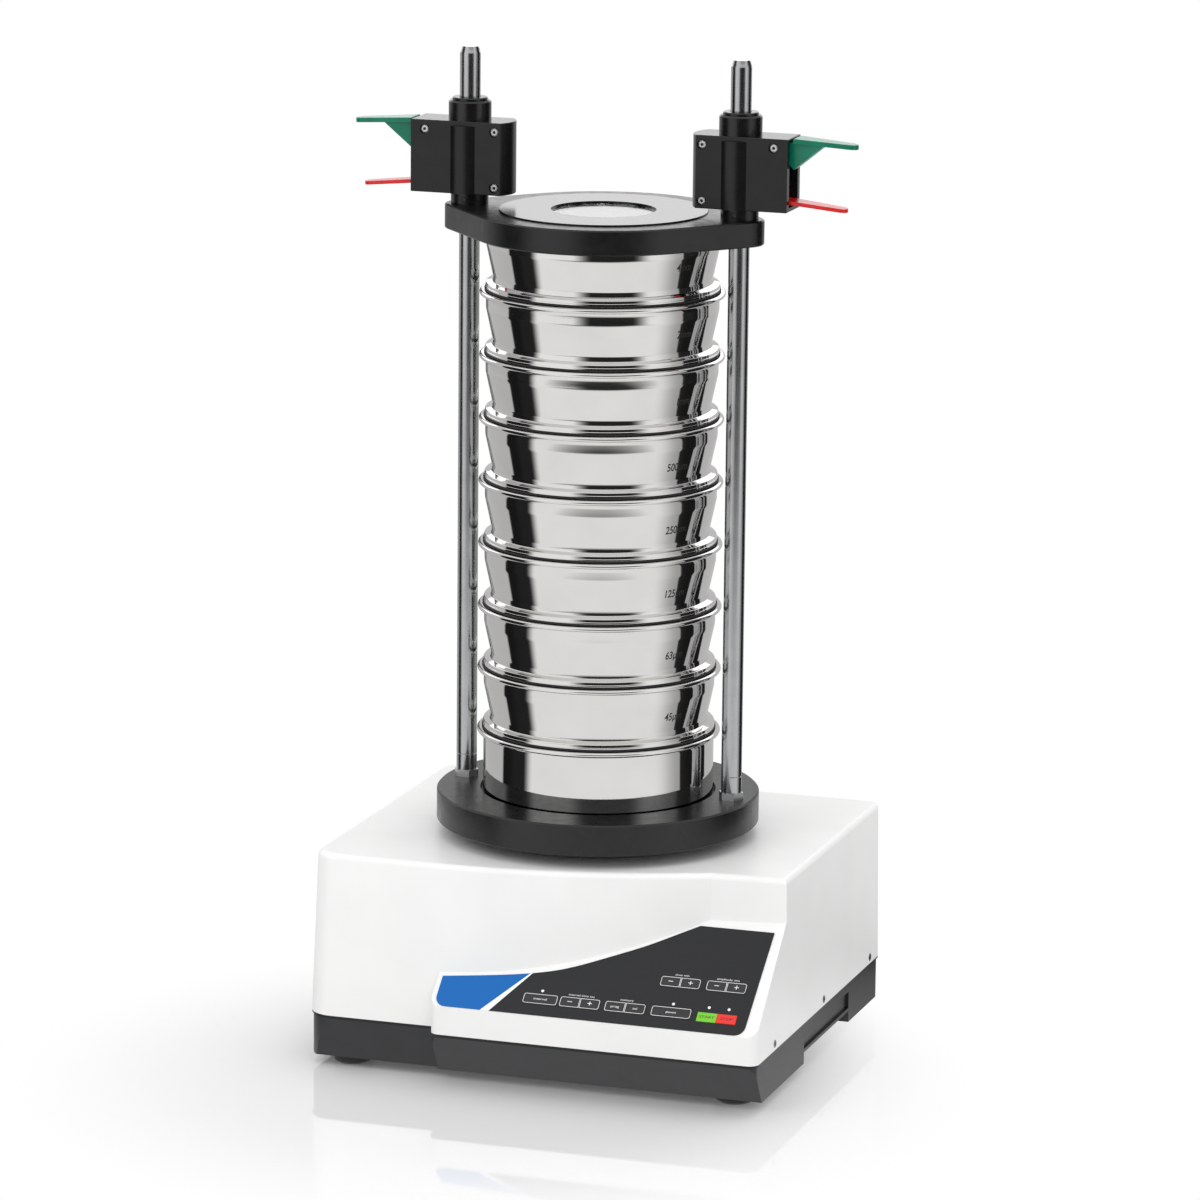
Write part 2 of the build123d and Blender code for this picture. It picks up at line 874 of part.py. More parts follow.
def rim_points(z):
    """Upper and outer part of the rolled rim, from the inside, clockwise."""
    inner = wall_radius - sheet
    curl = rim_radius - rim_curl
    return [
        (inner, z + rim_half),
        (curl, z + rim_half),
        (rim_radius - rim_bevel, z + rim_half - rim_bevel),
        (rim_radius, z + rim_half - rim_curl),
        (rim_radius, z - rim_half + rim_curl),
        (rim_radius - rim_bevel, z - rim_half + rim_bevel),
        (curl, z - rim_half),
        (wall_radius + rim_root, z - rim_half),
        (wall_radius, z - rim_half - rim_root),
    ]


def make_pan():
    """Straight-walled collecting pan with the same rim as the sieves."""
    inner = wall_radius - sheet
    points = rim_points(pan_rim_z) + [
        (wall_radius, pan_bottom + pan_bend),
        (wall_radius - pan_bend, pan_bottom),
        (0, pan_bottom),
        (0, pan_bottom + sheet),
        (inner - pan_bend, pan_bottom + sheet),
        (inner, pan_bottom + sheet + pan_bend),
    ]
    return turned(points, 0, stack_y)


def make_sieve(z):
    """Sieve frame: rolled rim, drawn wall, shoulder that sits on the next rim, skirt."""
    inner = wall_radius - sheet
    skirt_inner = skirt_radius - skirt_wall
    fold = neck_radius + mesh_fold
    fold_low = mesh_z - mesh_fold_height
    groove_top = mesh_z + mesh_thickness
    profile = [
        (wall_radius, -wall_straight),
        (neck_radius, neck_z),
        (neck_radius, neck_z - neck_land),
        (shoulder_radius - shoulder_bevel, shoulder_top),
        (shoulder_radius, shoulder_top - shoulder_bevel),
        (shoulder_radius, shoulder_bottom + shoulder_radius - seal_radius),
        (seal_radius, shoulder_bottom),
        (seal_radius, seat_z),
        (skirt_radius, seat_z),
        (skirt_radius, skirt_bottom + skirt_tip_height),
        (skirt_radius - skirt_tip, skirt_bottom),
        (skirt_inner, skirt_bottom),
        (skirt_inner, fold_low - mesh_fold_slope),
        (fold, fold_low),
        (fold, mesh_z),
        (mesh_radius, mesh_z),
        (mesh_radius, groove_top),
        (neck_radius - sheet, groove_top),
        (neck_radius - sheet, neck_z),
        (inner, -wall_straight),
    ]
    points = rim_points(z) + [(r, z + h) for r, h in profile]
    return turned(points, 0, stack_y)


def make_mesh(z):
    return rod(0, stack_y, z + mesh_z, z + mesh_z + mesh_thickness, mesh_radius)


def lid_outline(body_radius, ear_radius):
    """Circle and two ears joined by straight tangents."""
    angle = math.acos((body_radius - ear_radius) / rod_x)
    nx = math.cos(angle)
    ny = math.sin(angle)
    shape = Circle(body_radius)
    for side in (-1, 1):
        ear = (side * rod_x, 0)
        points = []
        for sign in (1, -1):
            points.append((side * body_radius * nx, sign * body_radius * ny))
        for sign in (-1, 1):
            points.append((ear[0] + side * ear_radius * nx, sign * ear_radius * ny))
        shape += make_face(Polyline(*points, close=True))
        shape += Pos(*ear) * Circle(ear_radius)
    return Pos(0, stack_y) * shape


def make_lid():
    """Bridge-shaped lid with a recess for the top rim and a stepped window opening."""
    lid = Pos(0, 0, lid_bottom) * extrude(lid_outline(lid_radius, lid_ear_radius), amount=lid_thickness)
    edges = lid.faces().sort_by(Axis.Z)[-1].edges() + lid.faces().sort_by(Axis.Z)[0].edges()
    lid = chamfer(edges, lid_edge)
    lid -= rod(0, stack_y, lid_bottom - over, top_rim_z, lid_recess_radius)
    seat = lid_top + window_raise - window_thickness
    lid -= rod(0, stack_y, seat, lid_top + over, window_radius + window_gap)
    lid -= rod(0, stack_y, lid_bottom, lid_top, window_seat_radius)
    for side in (-1, 1):
        lid -= rod(side * rod_x, stack_y, lid_bottom - over, lid_top + over, rod_radius + lid_rod_gap)
    return lid


def make_window():
    """Clear disc with a shallow dish in the middle."""
    top = lid_top + window_raise
    low = top - window_thickness
    points = [
        (0, low),
        (window_radius, low),
        (window_radius, top - window_edge),
        (window_radius - window_edge, top),
        (dish_radius, top),
        (dish_radius, top - dish_depth),
        (0, top - dish_depth),
    ]
    return turned(points, 0, stack_y)


def clamp_place(side):
    """Frame of one clamp: x outward from the rod, origin on the rod at the housing's underside."""
    turn = 0 if side > 0 else 180
    return Pos(side * rod_x, stack_y, clamp_bottom) * Rot(0, 0, turn)


def make_clamp_housing(side):
    """Clamp block: rounded nose, barrel around the rod, slot for the levers."""
    depth = clamp_half_depth
    nose = ThreePointArc((-clamp_inner, -depth), (-clamp_inner - clamp_nose, 0), (-clamp_inner, depth))
    nose += Polyline((-clamp_inner, depth), (clamp_outer, depth), (clamp_outer, -depth), (-clamp_inner, -depth))
    block = extrude(make_face(nose), amount=clamp_height)
    block = chamfer(block.edges().filter_by(Axis.Z, reverse=True), clamp_edge)
    barrel_height = clamp_height - barrel_gap
    block += Pos(0, 0, barrel_height / 2) * Cylinder(barrel_radius, barrel_height)
    block -= Pos(0, 0, clamp_height / 2) * Cylinder(sleeve_radius, clamp_height + 2 * over)
    wide = 2 * slot_half_width
    high = clamp_height - slot_floor - slot_roof
    slot = Box(slot_depth + over, wide, high)
    block -= Pos(clamp_outer + (over - slot_depth) / 2, 0, slot_floor + high / 2) * slot
    for x, z in screw_places():
        well = Pos(x, -depth + clamp_screw_sink / 2, z) * Rot(90, 0, 0)
        block -= well * Cylinder(clamp_screw_well, clamp_screw_sink)
        shank = Pos(x, -depth + clamp_screw_length / 2, z) * Rot(90, 0, 0)
        if x < 0:
            block -= shank * Cylinder(clamp_screw_shank, clamp_screw_length)
    for x, z in pin_places():
        block -= Pos(x, 0, z) * Rot(90, 0, 0) * Cylinder(pin_radius, 2 * pin_half)
    if side < 0:
        block = mirror(block, Plane.XZ)
    return clamp_place(side) * block


def screw_places():
    """Screws on the front face: one outside, two inside."""
    high = clamp_height - screw_high
    return [(screw_outer, high), (screw_inner, high), (screw_inner, screw_low)]


def pin_places():
    return [(screw_outer, clamp_height - screw_high), (release_pin_out, release_pin_up)]


def make_clamp_screws():
    """Button-head socket screws; the outer ones close the end of a lever pin."""
    screws = []
    depth = clamp_half_depth
    head = [
        (0, clamp_socket_floor),
        (clamp_socket_radius, clamp_socket_floor),
        (clamp_socket_radius, clamp_screw_head),
        (clamp_screw_radius - clamp_screw_crown, clamp_screw_head),
        (clamp_screw_radius, clamp_screw_head - clamp_screw_slope),
        (clamp_screw_radius, 0),
    ]
    shank_end = clamp_screw_sink - clamp_screw_length
    shank = [(clamp_screw_shank, 0), (clamp_screw_shank, shank_end), (0, shank_end)]
    for side in (-1, 1):
        for x, z in screw_places():
            points = head + (shank if x < 0 else [(0, 0)])
            place = Pos(side * (rod_x + x), stack_y - depth + clamp_screw_sink, clamp_bottom + z)
            screws.append(place * Rot(90, 0, 0) * turned(points))
    return screws


def make_lever_pins():
    pins = []
    for side in (-1, 1):
        for x, z in pin_places():
            place = Pos(side * (rod_x + x), stack_y, clamp_bottom + z)
            pins.append(place * Rot(90, 0, 0) * Cylinder(pin_radius, 2 * pin_half))
    return pins


def make_sleeves():
    """Guide sleeves: a wide lower collar on the lid's ear and a tube through the clamp block."""
    points = [
        (sleeve_bore, lid_top),
        (sleeve_collar_radius, lid_top),
        (sleeve_collar_radius, clamp_bottom),
        (sleeve_radius, clamp_bottom),
        (sleeve_radius, clamp_top),
        (sleeve_bore, clamp_top),
    ]
    return [turned(points, side * rod_x, stack_y) for side in (-1, 1)]


def make_collars():
    """Top collars with a chamfer and a raised inner lip."""
    top = clamp_top + collar_height
    points = [
        (sleeve_bore, clamp_top),
        (collar_radius, clamp_top),
        (collar_radius, top - collar_lip - collar_chamfer),
        (collar_radius - collar_chamfer, top - collar_lip),
        (collar_lip_radius, top - collar_lip),
        (collar_lip_radius, top - collar_lip_edge),
        (collar_lip_radius - collar_lip_edge, top),
        (sleeve_bore, top),
    ]
    return [turned(points, side * rod_x, stack_y) for side in (-1, 1)]


def lever_plan(root, tip, half_width, tip_radius):
    """Blade in plan, outward along x, with a rounded narrower tip."""
    shoulder = tip - tip_radius
    blade = make_face(Polyline(
        (root, -half_width),
        (shoulder, -tip_radius),
        (shoulder, tip_radius),
        (root, half_width),
        close=True,
    ))
    return blade + Pos(shoulder, 0) * Circle(tip_radius)


def make_clamp_lever(side):
    """Green lever: blade on top, web below, hub on its pin."""
    pin_z = clamp_height - screw_high
    root_z = clamp_height - lever_plate_low
    plan = lever_plan(0, lever_reach, lever_half_width, lever_tip_radius)
    blade = extrude(plan, amount=lever_plate)
    blade = fillet(blade.faces().sort_by(Axis.Z)[-1].edges(), lever_edge)
    lever = Pos(lever_root_out, 0, root_z) * Rot(0, lever_tilt, 0) * blade
    under = root_z + web_overlap
    hub_half = lever_hub - web_hub_inset
    web = make_face(Plane.XZ * Polyline(
        (screw_outer, pin_z + hub_half),
        (lever_root_out, root_z),
        (lever_root_out + web_root, under),
        (lever_root_out + web_reach, under - web_reach * math.tan(math.radians(lever_tilt))),
        (lever_root_out, clamp_height - web_drop),
        (screw_outer, pin_z - hub_half),
        close=True,
    ))
    lever += extrude(web, amount=web_half_width, both=True)
    hub_width = 2 * (slot_half_width - lever_side_gap)
    place = Pos(screw_outer, 0, pin_z) * Rot(90, 0, 0)
    lever += place * Cylinder(lever_hub, hub_width)
    lever -= place * Cylinder(pin_radius + pin_gap, hub_width + 2 * over)
    return clamp_place(side) * lever


def make_release_lever(side):
    """Red lever: thin sloping blade with a hub on its pin."""
    plan = lever_plan(0, release_reach, release_half_width, release_tip_radius)
    blade = extrude(plan, amount=release_plate)
    blade = fillet(blade.faces().sort_by(Axis.Z)[-1].edges(), release_edge)
    lever = Pos(0, 0, -release_plate / 2) * blade
    hub_width = 2 * (slot_half_width - lever_side_gap)
    lever += Rot(90, 0, 0) * Cylinder(release_hub, hub_width)
    lever -= Rot(90, 0, 0) * Cylinder(pin_radius + pin_gap, hub_width + 2 * over)
    return clamp_place(side) * Pos(release_pin_out, 0, release_pin_up) * Rot(0, release_tilt, 0) * lever


def make_board():
    return box(*board_x, *board_y, board_z, board_z + board_thickness)


def save(node, shape):
    """Write one node; a list of solids becomes a group."""
    if isinstance(shape, (list, tuple)):
        solids = []
        for part in shape:
            solids += part.solids()
    else:
        solids = shape.solids()
    out = solids[0] if len(solids) == 1 else Compound(children=solids)
    out.label = node
    export_step(out, "parts/" + node + ".step")
    print(node, len(solids), out.bounding_box())


save("base_tray", make_tray())
save("housing_shell", make_shell())
save("rubber_feet", make_feet())
save("housing_screws", side_screw_solids())
save("keypad_panel", make_foil())
save("indicator_lamps", make_lamps())
for key_name, key_outline in key_faces().items():
    save(key_name, make_key(key_outline))
power_module, module_mouth = make_power_module()
save("power_inlet", power_module)
save("inlet_pins", make_contacts(module_mouth))
save("mains_switch", make_switch(module_mouth))
save("circuit_board", make_board())
save("magnet_core", make_core())
save("magnet_coil", make_coil())
save("drive_springs", make_springs())
save("armature_plate", make_armature())
save("drive_column", make_column())
save("sieve_plate", make_plate())
save("support_rods", make_rods())
save("rod_nuts", make_rod_nuts())
save("collecting_pan", make_pan())
for number in range(1, sieve_count + 1):
    rim_z = pan_rim_z + (sieve_count + 1 - number) * sieve_pitch
    save("sieve_" + str(number), make_sieve(rim_z))
    save("sieve_mesh_" + str(number), make_mesh(rim_z))
save("lid_plate", make_lid())
save("lid_window", make_window())
save("clamp_sleeves", make_sleeves())
save("clamp_collars", make_collars())
save("clamp_screws", make_clamp_screws())
save("lever_pins", make_lever_pins())
for side_name, side_sign in (("left", -1), ("right", 1)):
    save(side_name + "_clamp_housing", make_clamp_housing(side_sign))
    save(side_name + "_clamp_lever", make_clamp_lever(side_sign))
    save(side_name + "_release_lever", make_release_lever(side_sign))
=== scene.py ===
import math

import bmesh
import bpy
from mathutils import Matrix, Vector


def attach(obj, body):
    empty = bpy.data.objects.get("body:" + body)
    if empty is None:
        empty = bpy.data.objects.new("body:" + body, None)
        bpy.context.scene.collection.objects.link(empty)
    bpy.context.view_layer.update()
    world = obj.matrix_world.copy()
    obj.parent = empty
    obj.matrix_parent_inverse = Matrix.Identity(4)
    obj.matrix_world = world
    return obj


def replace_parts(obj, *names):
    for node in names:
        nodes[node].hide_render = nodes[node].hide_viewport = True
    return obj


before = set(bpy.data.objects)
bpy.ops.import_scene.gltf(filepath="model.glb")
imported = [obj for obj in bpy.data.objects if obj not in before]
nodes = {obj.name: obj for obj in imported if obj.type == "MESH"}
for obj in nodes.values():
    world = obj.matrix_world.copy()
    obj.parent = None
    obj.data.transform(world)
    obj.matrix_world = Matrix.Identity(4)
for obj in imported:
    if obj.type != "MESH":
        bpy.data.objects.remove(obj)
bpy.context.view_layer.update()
scene = bpy.context.scene
MM = 0.001

# Places that the pieces below share, in metres
STACK_Y = 5.0 * MM
ROD_X = 122.3 * MM
SIEVE_COUNT = 8
SIEVE_PITCH = 55.24 * MM
PAN_RIM_Z = 280.0 * MM
SEAT_DOWN = 53.04 * MM
SEAL_RADIUS = 101.35 * MM
SEAL_SECTION = 1.0 * MM
MESH_DOWN = 47.5 * MM
MESH_RADIUS = 97.3 * MM
LID_TOP_Z = 737.12 * MM
CLAMP_BOTTOM_Z = 747.12 * MM
SLEEVE_COLLAR_RADIUS = 16.35 * MM
FOIL_THICKNESS = 0.8 * MM
KEY_RAISE = 0.5 * MM
SLOPE = math.radians(41.48)
SLOPE_TOP = Vector((0.0, -111.5 * MM, 143.6 * MM))
DOWN_SLOPE = Vector((0.0, -math.cos(SLOPE), -math.sin(SLOPE)))
OFF_SLOPE = Vector((0.0, -math.sin(SLOPE), math.cos(SLOPE)))
CAMERA_AZIMUTH = math.radians(18.283)
CAMERA_ELEVATION = math.radians(12.321)
CAMERA_ROLL = math.radians(0.565)
CAMERA_PLACE = (1.68350, -5.08992, 1.56625)
PHOTO_PIXELS = 1200
FOCAL_PIXELS = 6299.924
SENSOR_MM = 36
# Top of the black painted as the shade in the gap at the shell's foot; the rebate itself ends 1.4 mm
# lower
PAINTED_GAP_SHADE_TOP_Z = 46.9 * MM
SIDE_SCREW_X = 208.36 * MM
SIDE_SCREW_Z = 52.5 * MM
SIDE_SCREW_Y = (-138.0 * MM, 9.5 * MM, 155.0 * MM)

# Radii and sheet of a sieve's outline, in millimetres
WALL = 100.8
SHEET = 0.7
RIM = 106.3
RIM_HALF = 2.2
NECK = 95.2
SHOULDER = 101.5
SKIRT = 99.6
WINDOW = 90.0
PANE = 45.5
PAN_HEIGHT = 58.0


def sieve_rim(number):
    """Height of the middle of a sieve's rim; sieve 1 is the top one."""
    return PAN_RIM_Z + (SIEVE_COUNT + 1 - number) * SIEVE_PITCH


# Materials

def colour(code):
    """A colour from its sRGB hex code, as linear RGBA."""
    parts = [int(code[i:i + 2], 16) / 255 for i in (1, 3, 5)]
    linear = [c / 12.92 if c <= 0.04045 else ((c + 0.055) / 1.055) ** 2.4 for c in parts]
    return (*linear, 1.0)


def add(tree, kind, values=(), **settings):
    """One node with its settings; values are (input, number, colour or another node's output)."""
    made = tree.nodes.new(kind)
    for name, value in settings.items():
        setattr(made, name, value)
    for name, value in values:
        if isinstance(value, bpy.types.NodeSocket):
            tree.links.new(value, made.inputs[name])
        else:
            made.inputs[name].default_value = value
    return made


def finish_material(name, settings):
    """A new material with its Principled shader's plain settings, and its tree."""
    made = bpy.data.materials.new(name)
    made.use_nodes = True
    tree = made.node_tree
    shader = tree.nodes["Principled BSDF"]
    for key, value in settings.items():
        shader.inputs[key].default_value = value
    return made, tree, shader


def grain(tree, size_mm, detail=2.0, stretch=(1, 1, 1)):
    """Noise whose lumps are size_mm wide, stretched along an axis where asked."""
    place = add(tree, "ShaderNodeTexCoord")
    spread = add(tree, "ShaderNodeMapping", [("Vector", place.outputs["Object"]), ("Scale", stretch)])
    return add(tree, "ShaderNodeTexNoise", [
        ("Vector", spread.outputs[0]), ("Scale", 1 / (size_mm * MM)), ("Detail", detail)])


def vary(tree, shader, source, low, high, dark, light):
    """Base colour between two hex colours as source runs from low to high."""
    ramp = add(tree, "ShaderNodeValToRGB", [("Fac", source)])
    ramp.color_ramp.elements[0].position = low
    ramp.color_ramp.elements[1].position = high
    ramp.color_ramp.elements[0].color = colour(dark)
    ramp.color_ramp.elements[1].color = colour(light)
    tree.links.new(ramp.outputs["Color"], shader.inputs["Base Color"])
    return ramp


def uneven(tree, shader, source, low, high):
    """Roughness between low and high as source runs from 0.3 to 0.7."""
    spread = add(tree, "ShaderNodeMapRange", [
        ("Value", source), ("From Min", 0.3), ("From Max", 0.7), ("To Min", low), ("To Max", high)])
    tree.links.new(spread.outputs["Result"], shader.inputs["Roughness"])


def relief(tree, shader, source, depth_mm, strength=1.0):
    """Bump of depth_mm from source."""
    made = add(tree, "ShaderNodeBump", [
        ("Height", source), ("Distance", depth_mm * MM), ("Strength", strength)])
    tree.links.new(made.outputs["Normal"], shader.inputs["Normal"])


def painted_foam_moulding():
    """White two-pack paint on a moulded housing: a soft sheen with a very fine orange peel.
    The rebate above the tray and the lowest 1.4 mm of the shell's outer wall are painted black
    as the shade in the gap between shell and tray; the painted line still shows only faintly."""
    made, tree, shader = finish_material("white_painted_moulding", {
        "IOR": 1.5, "Specular IOR Level": 0.45})
    peel = grain(tree, 1.6)
    paint = vary(tree, shader, grain(tree, 60).outputs["Fac"], 0.3, 0.7, "#EDEDEC", "#F1F1F0")
    place = add(tree, "ShaderNodeTexCoord")
    split = add(tree, "ShaderNodeSeparateXYZ", [("Vector", place.outputs["Object"])])
    # Painted shade: black below this height stands for the shadow in the gap between shell and tray
    gap_shade_mask = add(tree, "ShaderNodeMath", [
        (0, split.outputs["Z"]), (1, PAINTED_GAP_SHADE_TOP_Z)], operation="LESS_THAN")
    shade = add(tree, "ShaderNodeMix", [
        (0, gap_shade_mask.outputs[0]), (6, paint.outputs["Color"]), (7, colour("#080808"))], data_type="RGBA")
    tree.links.new(shade.outputs[2], shader.inputs["Base Color"])
    uneven(tree, shader, peel.outputs["Fac"], 0.3, 0.36)
    relief(tree, shader, peel.outputs["Fac"], 0.012)
    return made


def moulded_plastic(name, dark, light, rough, grain_mm=0.5, depth_mm=0.015, sheen=0.5):
    """Injection-moulded ABS: an even spark-eroded grain that breaks up its sheen."""
    made, tree, shader = finish_material(name, {"IOR": 1.53, "Specular IOR Level": sheen})
    spark = grain(tree, grain_mm)
    vary(tree, shader, grain(tree, 18).outputs["Fac"], 0.3, 0.7, dark, light)
    uneven(tree, shader, spark.outputs["Fac"], rough - 0.04, rough + 0.06)
    relief(tree, shader, spark.outputs["Fac"], depth_mm)
    return made


def black_anodising(name, rough, speck_mm=0.7, depth_mm=0.02):
    """Bead-blasted aluminium, anodised black: matt from above, shining where light grazes it."""
    made, tree, shader = finish_material(name, {"IOR": 1.5})
    speck = grain(tree, speck_mm, 3.0)
    vary(tree, shader, speck.outputs["Fac"], 0.35, 0.75, "#0A0A0B", "#141415")
    uneven(tree, shader, grain(tree, 9).outputs["Fac"], rough - 0.03, rough + 0.05)
    relief(tree, shader, speck.outputs["Fac"], depth_mm)
    return made


def rubber(name, shade):
    """Black nitrile rubber: dull, with a faint bloom."""
    made, tree, shader = finish_material(name, {"IOR": 1.52})
    bloom = grain(tree, 2.5)
    vary(tree, shader, bloom.outputs["Fac"], 0.3, 0.8, shade, "#232425")
    uneven(tree, shader, bloom.outputs["Fac"], 0.6, 0.75)
    relief(tree, shader, grain(tree, 0.4).outputs["Fac"], 0.02)
    return made


def bare_metal(name, dark, light, rough, line_mm=0.35, stretch=(0.02, 0.02, 1), depth_mm=0.002):
    """Bare metal whose fine lines run the way that it was turned, ground or brushed."""
    made, tree, shader = finish_material(name, {"Metallic": 1.0})
    lines = grain(tree, line_mm, 3.0, stretch)
    vary(tree, shader, grain(tree, 25).outputs["Fac"], 0.3, 0.7, dark, light)
    uneven(tree, shader, lines.outputs["Fac"], rough * 0.8, rough * 1.25)
    relief(tree, shader, lines.outputs["Fac"], depth_mm)
    return made


def polished_steel(name, low, high):
    """Drawn and polished stainless steel: it shows its surroundings as clean dark and bright bands."""
    made, tree, shader = finish_material(name, {"Metallic": 1.0})
    lines = grain(tree, 0.5, 2.0, (0.015, 0.015, 1))
    vary(tree, shader, grain(tree, 40).outputs["Fac"], 0.3, 0.7, "#DAD9D7", "#E0DFDD")
    uneven(tree, shader, lines.outputs["Fac"], low, high)
    relief(tree, shader, lines.outputs["Fac"], 0.0012)
    return made


def woven_steel(name, opening_mm, wire_mm):
    """Woven wire cloth seen as a whole: bright wires, and openings painted dark as the shade seen
    through them.
    The finest cloths are drawn no finer than 1 mm a thread, so that the weave shows."""
    made, tree, shader = finish_material(name, {"Metallic": 0.8, "Roughness": 0.34})
    step = max(opening_mm + wire_mm, 1.0) * MM
    share = opening_mm / (opening_mm + wire_mm)
    place = add(tree, "ShaderNodeTexCoord")
    split = add(tree, "ShaderNodeSeparateXYZ", [("Vector", place.outputs["Object"])])
    masks = []
    for axis in ("X", "Y"):
        wave = add(tree, "ShaderNodeMath", [(0, split.outputs[axis]), (1, step)], operation="DIVIDE")
        part = add(tree, "ShaderNodeMath", [(0, wave.outputs[0])], operation="FRACT")
        away = add(tree, "ShaderNodeMath", [(0, part.outputs[0]), (1, 0.5)], operation="SUBTRACT")
        size = add(tree, "ShaderNodeMath", [(0, away.outputs[0])], operation="ABSOLUTE")
        masks.append(add(tree, "ShaderNodeMath", [
            (0, size.outputs[0]), (1, share / 2)], operation="LESS_THAN"))
    shaded_opening = add(tree, "ShaderNodeMath", [
        (0, masks[0].outputs[0]), (1, masks[1].outputs[0])], operation="MULTIPLY")
    # Painted shade: the openings take a dark grey for the shade seen through them, not a see-through
    # hole
    shade = add(tree, "ShaderNodeMix", [
        (0, shaded_opening.outputs[0]), (6, colour("#B9B8B5")), (7, colour("#3C3C3B"))], data_type="RGBA")
    tree.links.new(shade.outputs[2], shader.inputs["Base Color"])
    return made


def clear_acrylic():
    """Clear cast acrylic: the steel below shows through, the studio shines on it at a low angle."""
    made, tree, shader = finish_material("clear_acrylic", {
        "Base Color": colour("#D4D8D8"), "Transmission Weight": 1.0, "IOR": 1.49, "Roughness": 0.12})
    relief(tree, shader, grain(tree, 30).outputs["Fac"], 0.01, 0.4)
    return made


def printed_foil():
    """Screen-printed polyester foil: blue field, white wedge and charcoal, under a fine matt grain."""
    made, tree, shader = finish_material("printed_polyester_foil", {
        "IOR": 1.45, "Specular IOR Level": 0.35})
    place = add(tree, "ShaderNodeTexCoord")
    split = add(tree, "ShaderNodeSeparateXYZ", [("Vector", place.outputs["Object"])])
    moved = add(tree, "ShaderNodeVectorMath", [
        (0, place.outputs["Object"]), (1, SLOPE_TOP)], operation="SUBTRACT")
    down = add(tree, "ShaderNodeVectorMath", [
        (0, moved.outputs[0]), (1, DOWN_SLOPE)], operation="DOT_PRODUCT")
    edges = []
    for start_x, start_s, lean in ((-4.0, 66.0, 0.841), (-1.6, 65.0, 0.695)):
        slant = add(tree, "ShaderNodeMath", [
            (0, down.outputs["Value"]), (1, lean), (2, split.outputs["X"])], operation="MULTIPLY_ADD")
        edges.append(add(tree, "ShaderNodeMath", [
            (0, slant.outputs[0]), (1, (start_x + lean * start_s) * MM)], operation="GREATER_THAN"))
    fleck = add(tree, "ShaderNodeValToRGB", [("Fac", grain(tree, 0.6).outputs["Fac"])])
    fleck.color_ramp.elements[0].color = colour("#1D1E20")
    fleck.color_ramp.elements[1].color = colour("#28292B")
    blue = add(tree, "ShaderNodeMix", [
        (0, edges[0].outputs[0]), (6, colour("#0063B2")), (7, colour("#F2F2F2"))], data_type="RGBA")
    printed = add(tree, "ShaderNodeMix", [
        (0, edges[1].outputs[0]), (6, blue.outputs[2]), (7, fleck.outputs[0])], data_type="RGBA")
    tree.links.new(printed.outputs[2], shader.inputs["Base Color"])
    uneven(tree, shader, grain(tree, 0.5).outputs["Fac"], 0.38, 0.48)
    relief(tree, shader, grain(tree, 0.35).outputs["Fac"], 0.006)
    return made


def printing_ink(name, shade):
    """Screen-printing ink, slightly uneven in its cover; the same flat finish also gives the painted
    shade in the screw sockets.
    """
    made, tree, shader = finish_material(name, {"Roughness": 0.5})
    tone = colour(shade)
    dark = [c * 0.9 for c in tone[:3]]
    cover = add(tree, "ShaderNodeMix", [
        (0, grain(tree, 0.8).outputs["Fac"]), (6, (*dark, 1.0)), (7, tone)], data_type="RGBA")
    tree.links.new(cover.outputs[2], shader.inputs["Base Color"])
    return made


def laminate():
    """Green solder mask on glass-fibre laminate.
    Copper tracks shine through it on a 2.54 mm grid."""
    made, tree, shader = finish_material("solder_mask", {"IOR": 1.55, "Roughness": 0.3})
    place = add(tree, "ShaderNodeTexCoord")
    tracks = add(tree, "ShaderNodeTexBrick", [
        ("Vector", place.outputs["Object"]), ("Scale", 1 / (2.54 * MM) / 2), ("Mortar Size", 0.06),
        ("Color1", colour("#0E4A26")), ("Color2", colour("#125A30")), ("Mortar", colour("#2F7A44"))])
    tree.links.new(tracks.outputs["Color"], shader.inputs["Base Color"])
    relief(tree, shader, tracks.outputs["Fac"], 0.03)
    return made


def banded(name, dark, light, step_mm, axis, metallic, rough):
    """Even bands of step_mm along one axis: stacked sheets or layers of winding wire."""
    made, tree, shader = finish_material(name, {"Metallic": metallic, "Roughness": rough})
    place = add(tree, "ShaderNodeTexCoord")
    bands = add(tree, "ShaderNodeTexWave", [
        ("Vector", place.outputs["Object"]), ("Scale", math.pi / (step_mm * MM) / 10)],
        bands_direction=axis)
    vary(tree, shader, bands.outputs["Fac"], 0.1, 0.9, dark, light)
    relief(tree, shader, bands.outputs["Fac"], step_mm / 4)
    return made


HOUSING_PAINT = painted_foam_moulding()
TRAY_ABS = moulded_plastic("black_moulded_tray", "#191A1C", "#1E1F22", 0.42, 0.8, 0.03)
CLAMP_ABS = moulded_plastic("black_moulded_clamp", "#0E0E0F", "#131314", 0.24, 0.5, 0.003, 0.35)
MODULE_ABS = moulded_plastic("black_moulded_inlet", "#141415", "#1A1A1C", 0.35)
KEY_FOIL = moulded_plastic("charcoal_key_foil", "#1F2022", "#27282A", 0.42, 0.4, 0.006)
START_FOIL = moulded_plastic("green_key_foil", "#72C424", "#7ACB2C", 0.4, 0.4, 0.006)
STOP_FOIL = moulded_plastic("red_key_foil", "#E4241C", "#EC2C24", 0.4, 0.4, 0.006)
LEVER_GREEN = moulded_plastic("green_glass_filled_nylon", "#00654C", "#007358", 0.24, 0.5, 0.001, 0.35)
LEVER_RED = moulded_plastic("red_glass_filled_nylon", "#BE1414", "#CC1C1A", 0.24, 0.5, 0.001, 0.4)
LAMP_LENS = moulded_plastic("milky_lamp_lens", "#E9EAE8", "#F4F4F2", 0.25, 0.5, 0.004)
PLATE_BLACK = black_anodising("black_anodised_plate", 0.3, 0.8)
LID_BLACK = black_anodising("black_anodised_lid", 0.31, 0.5, 0.006)
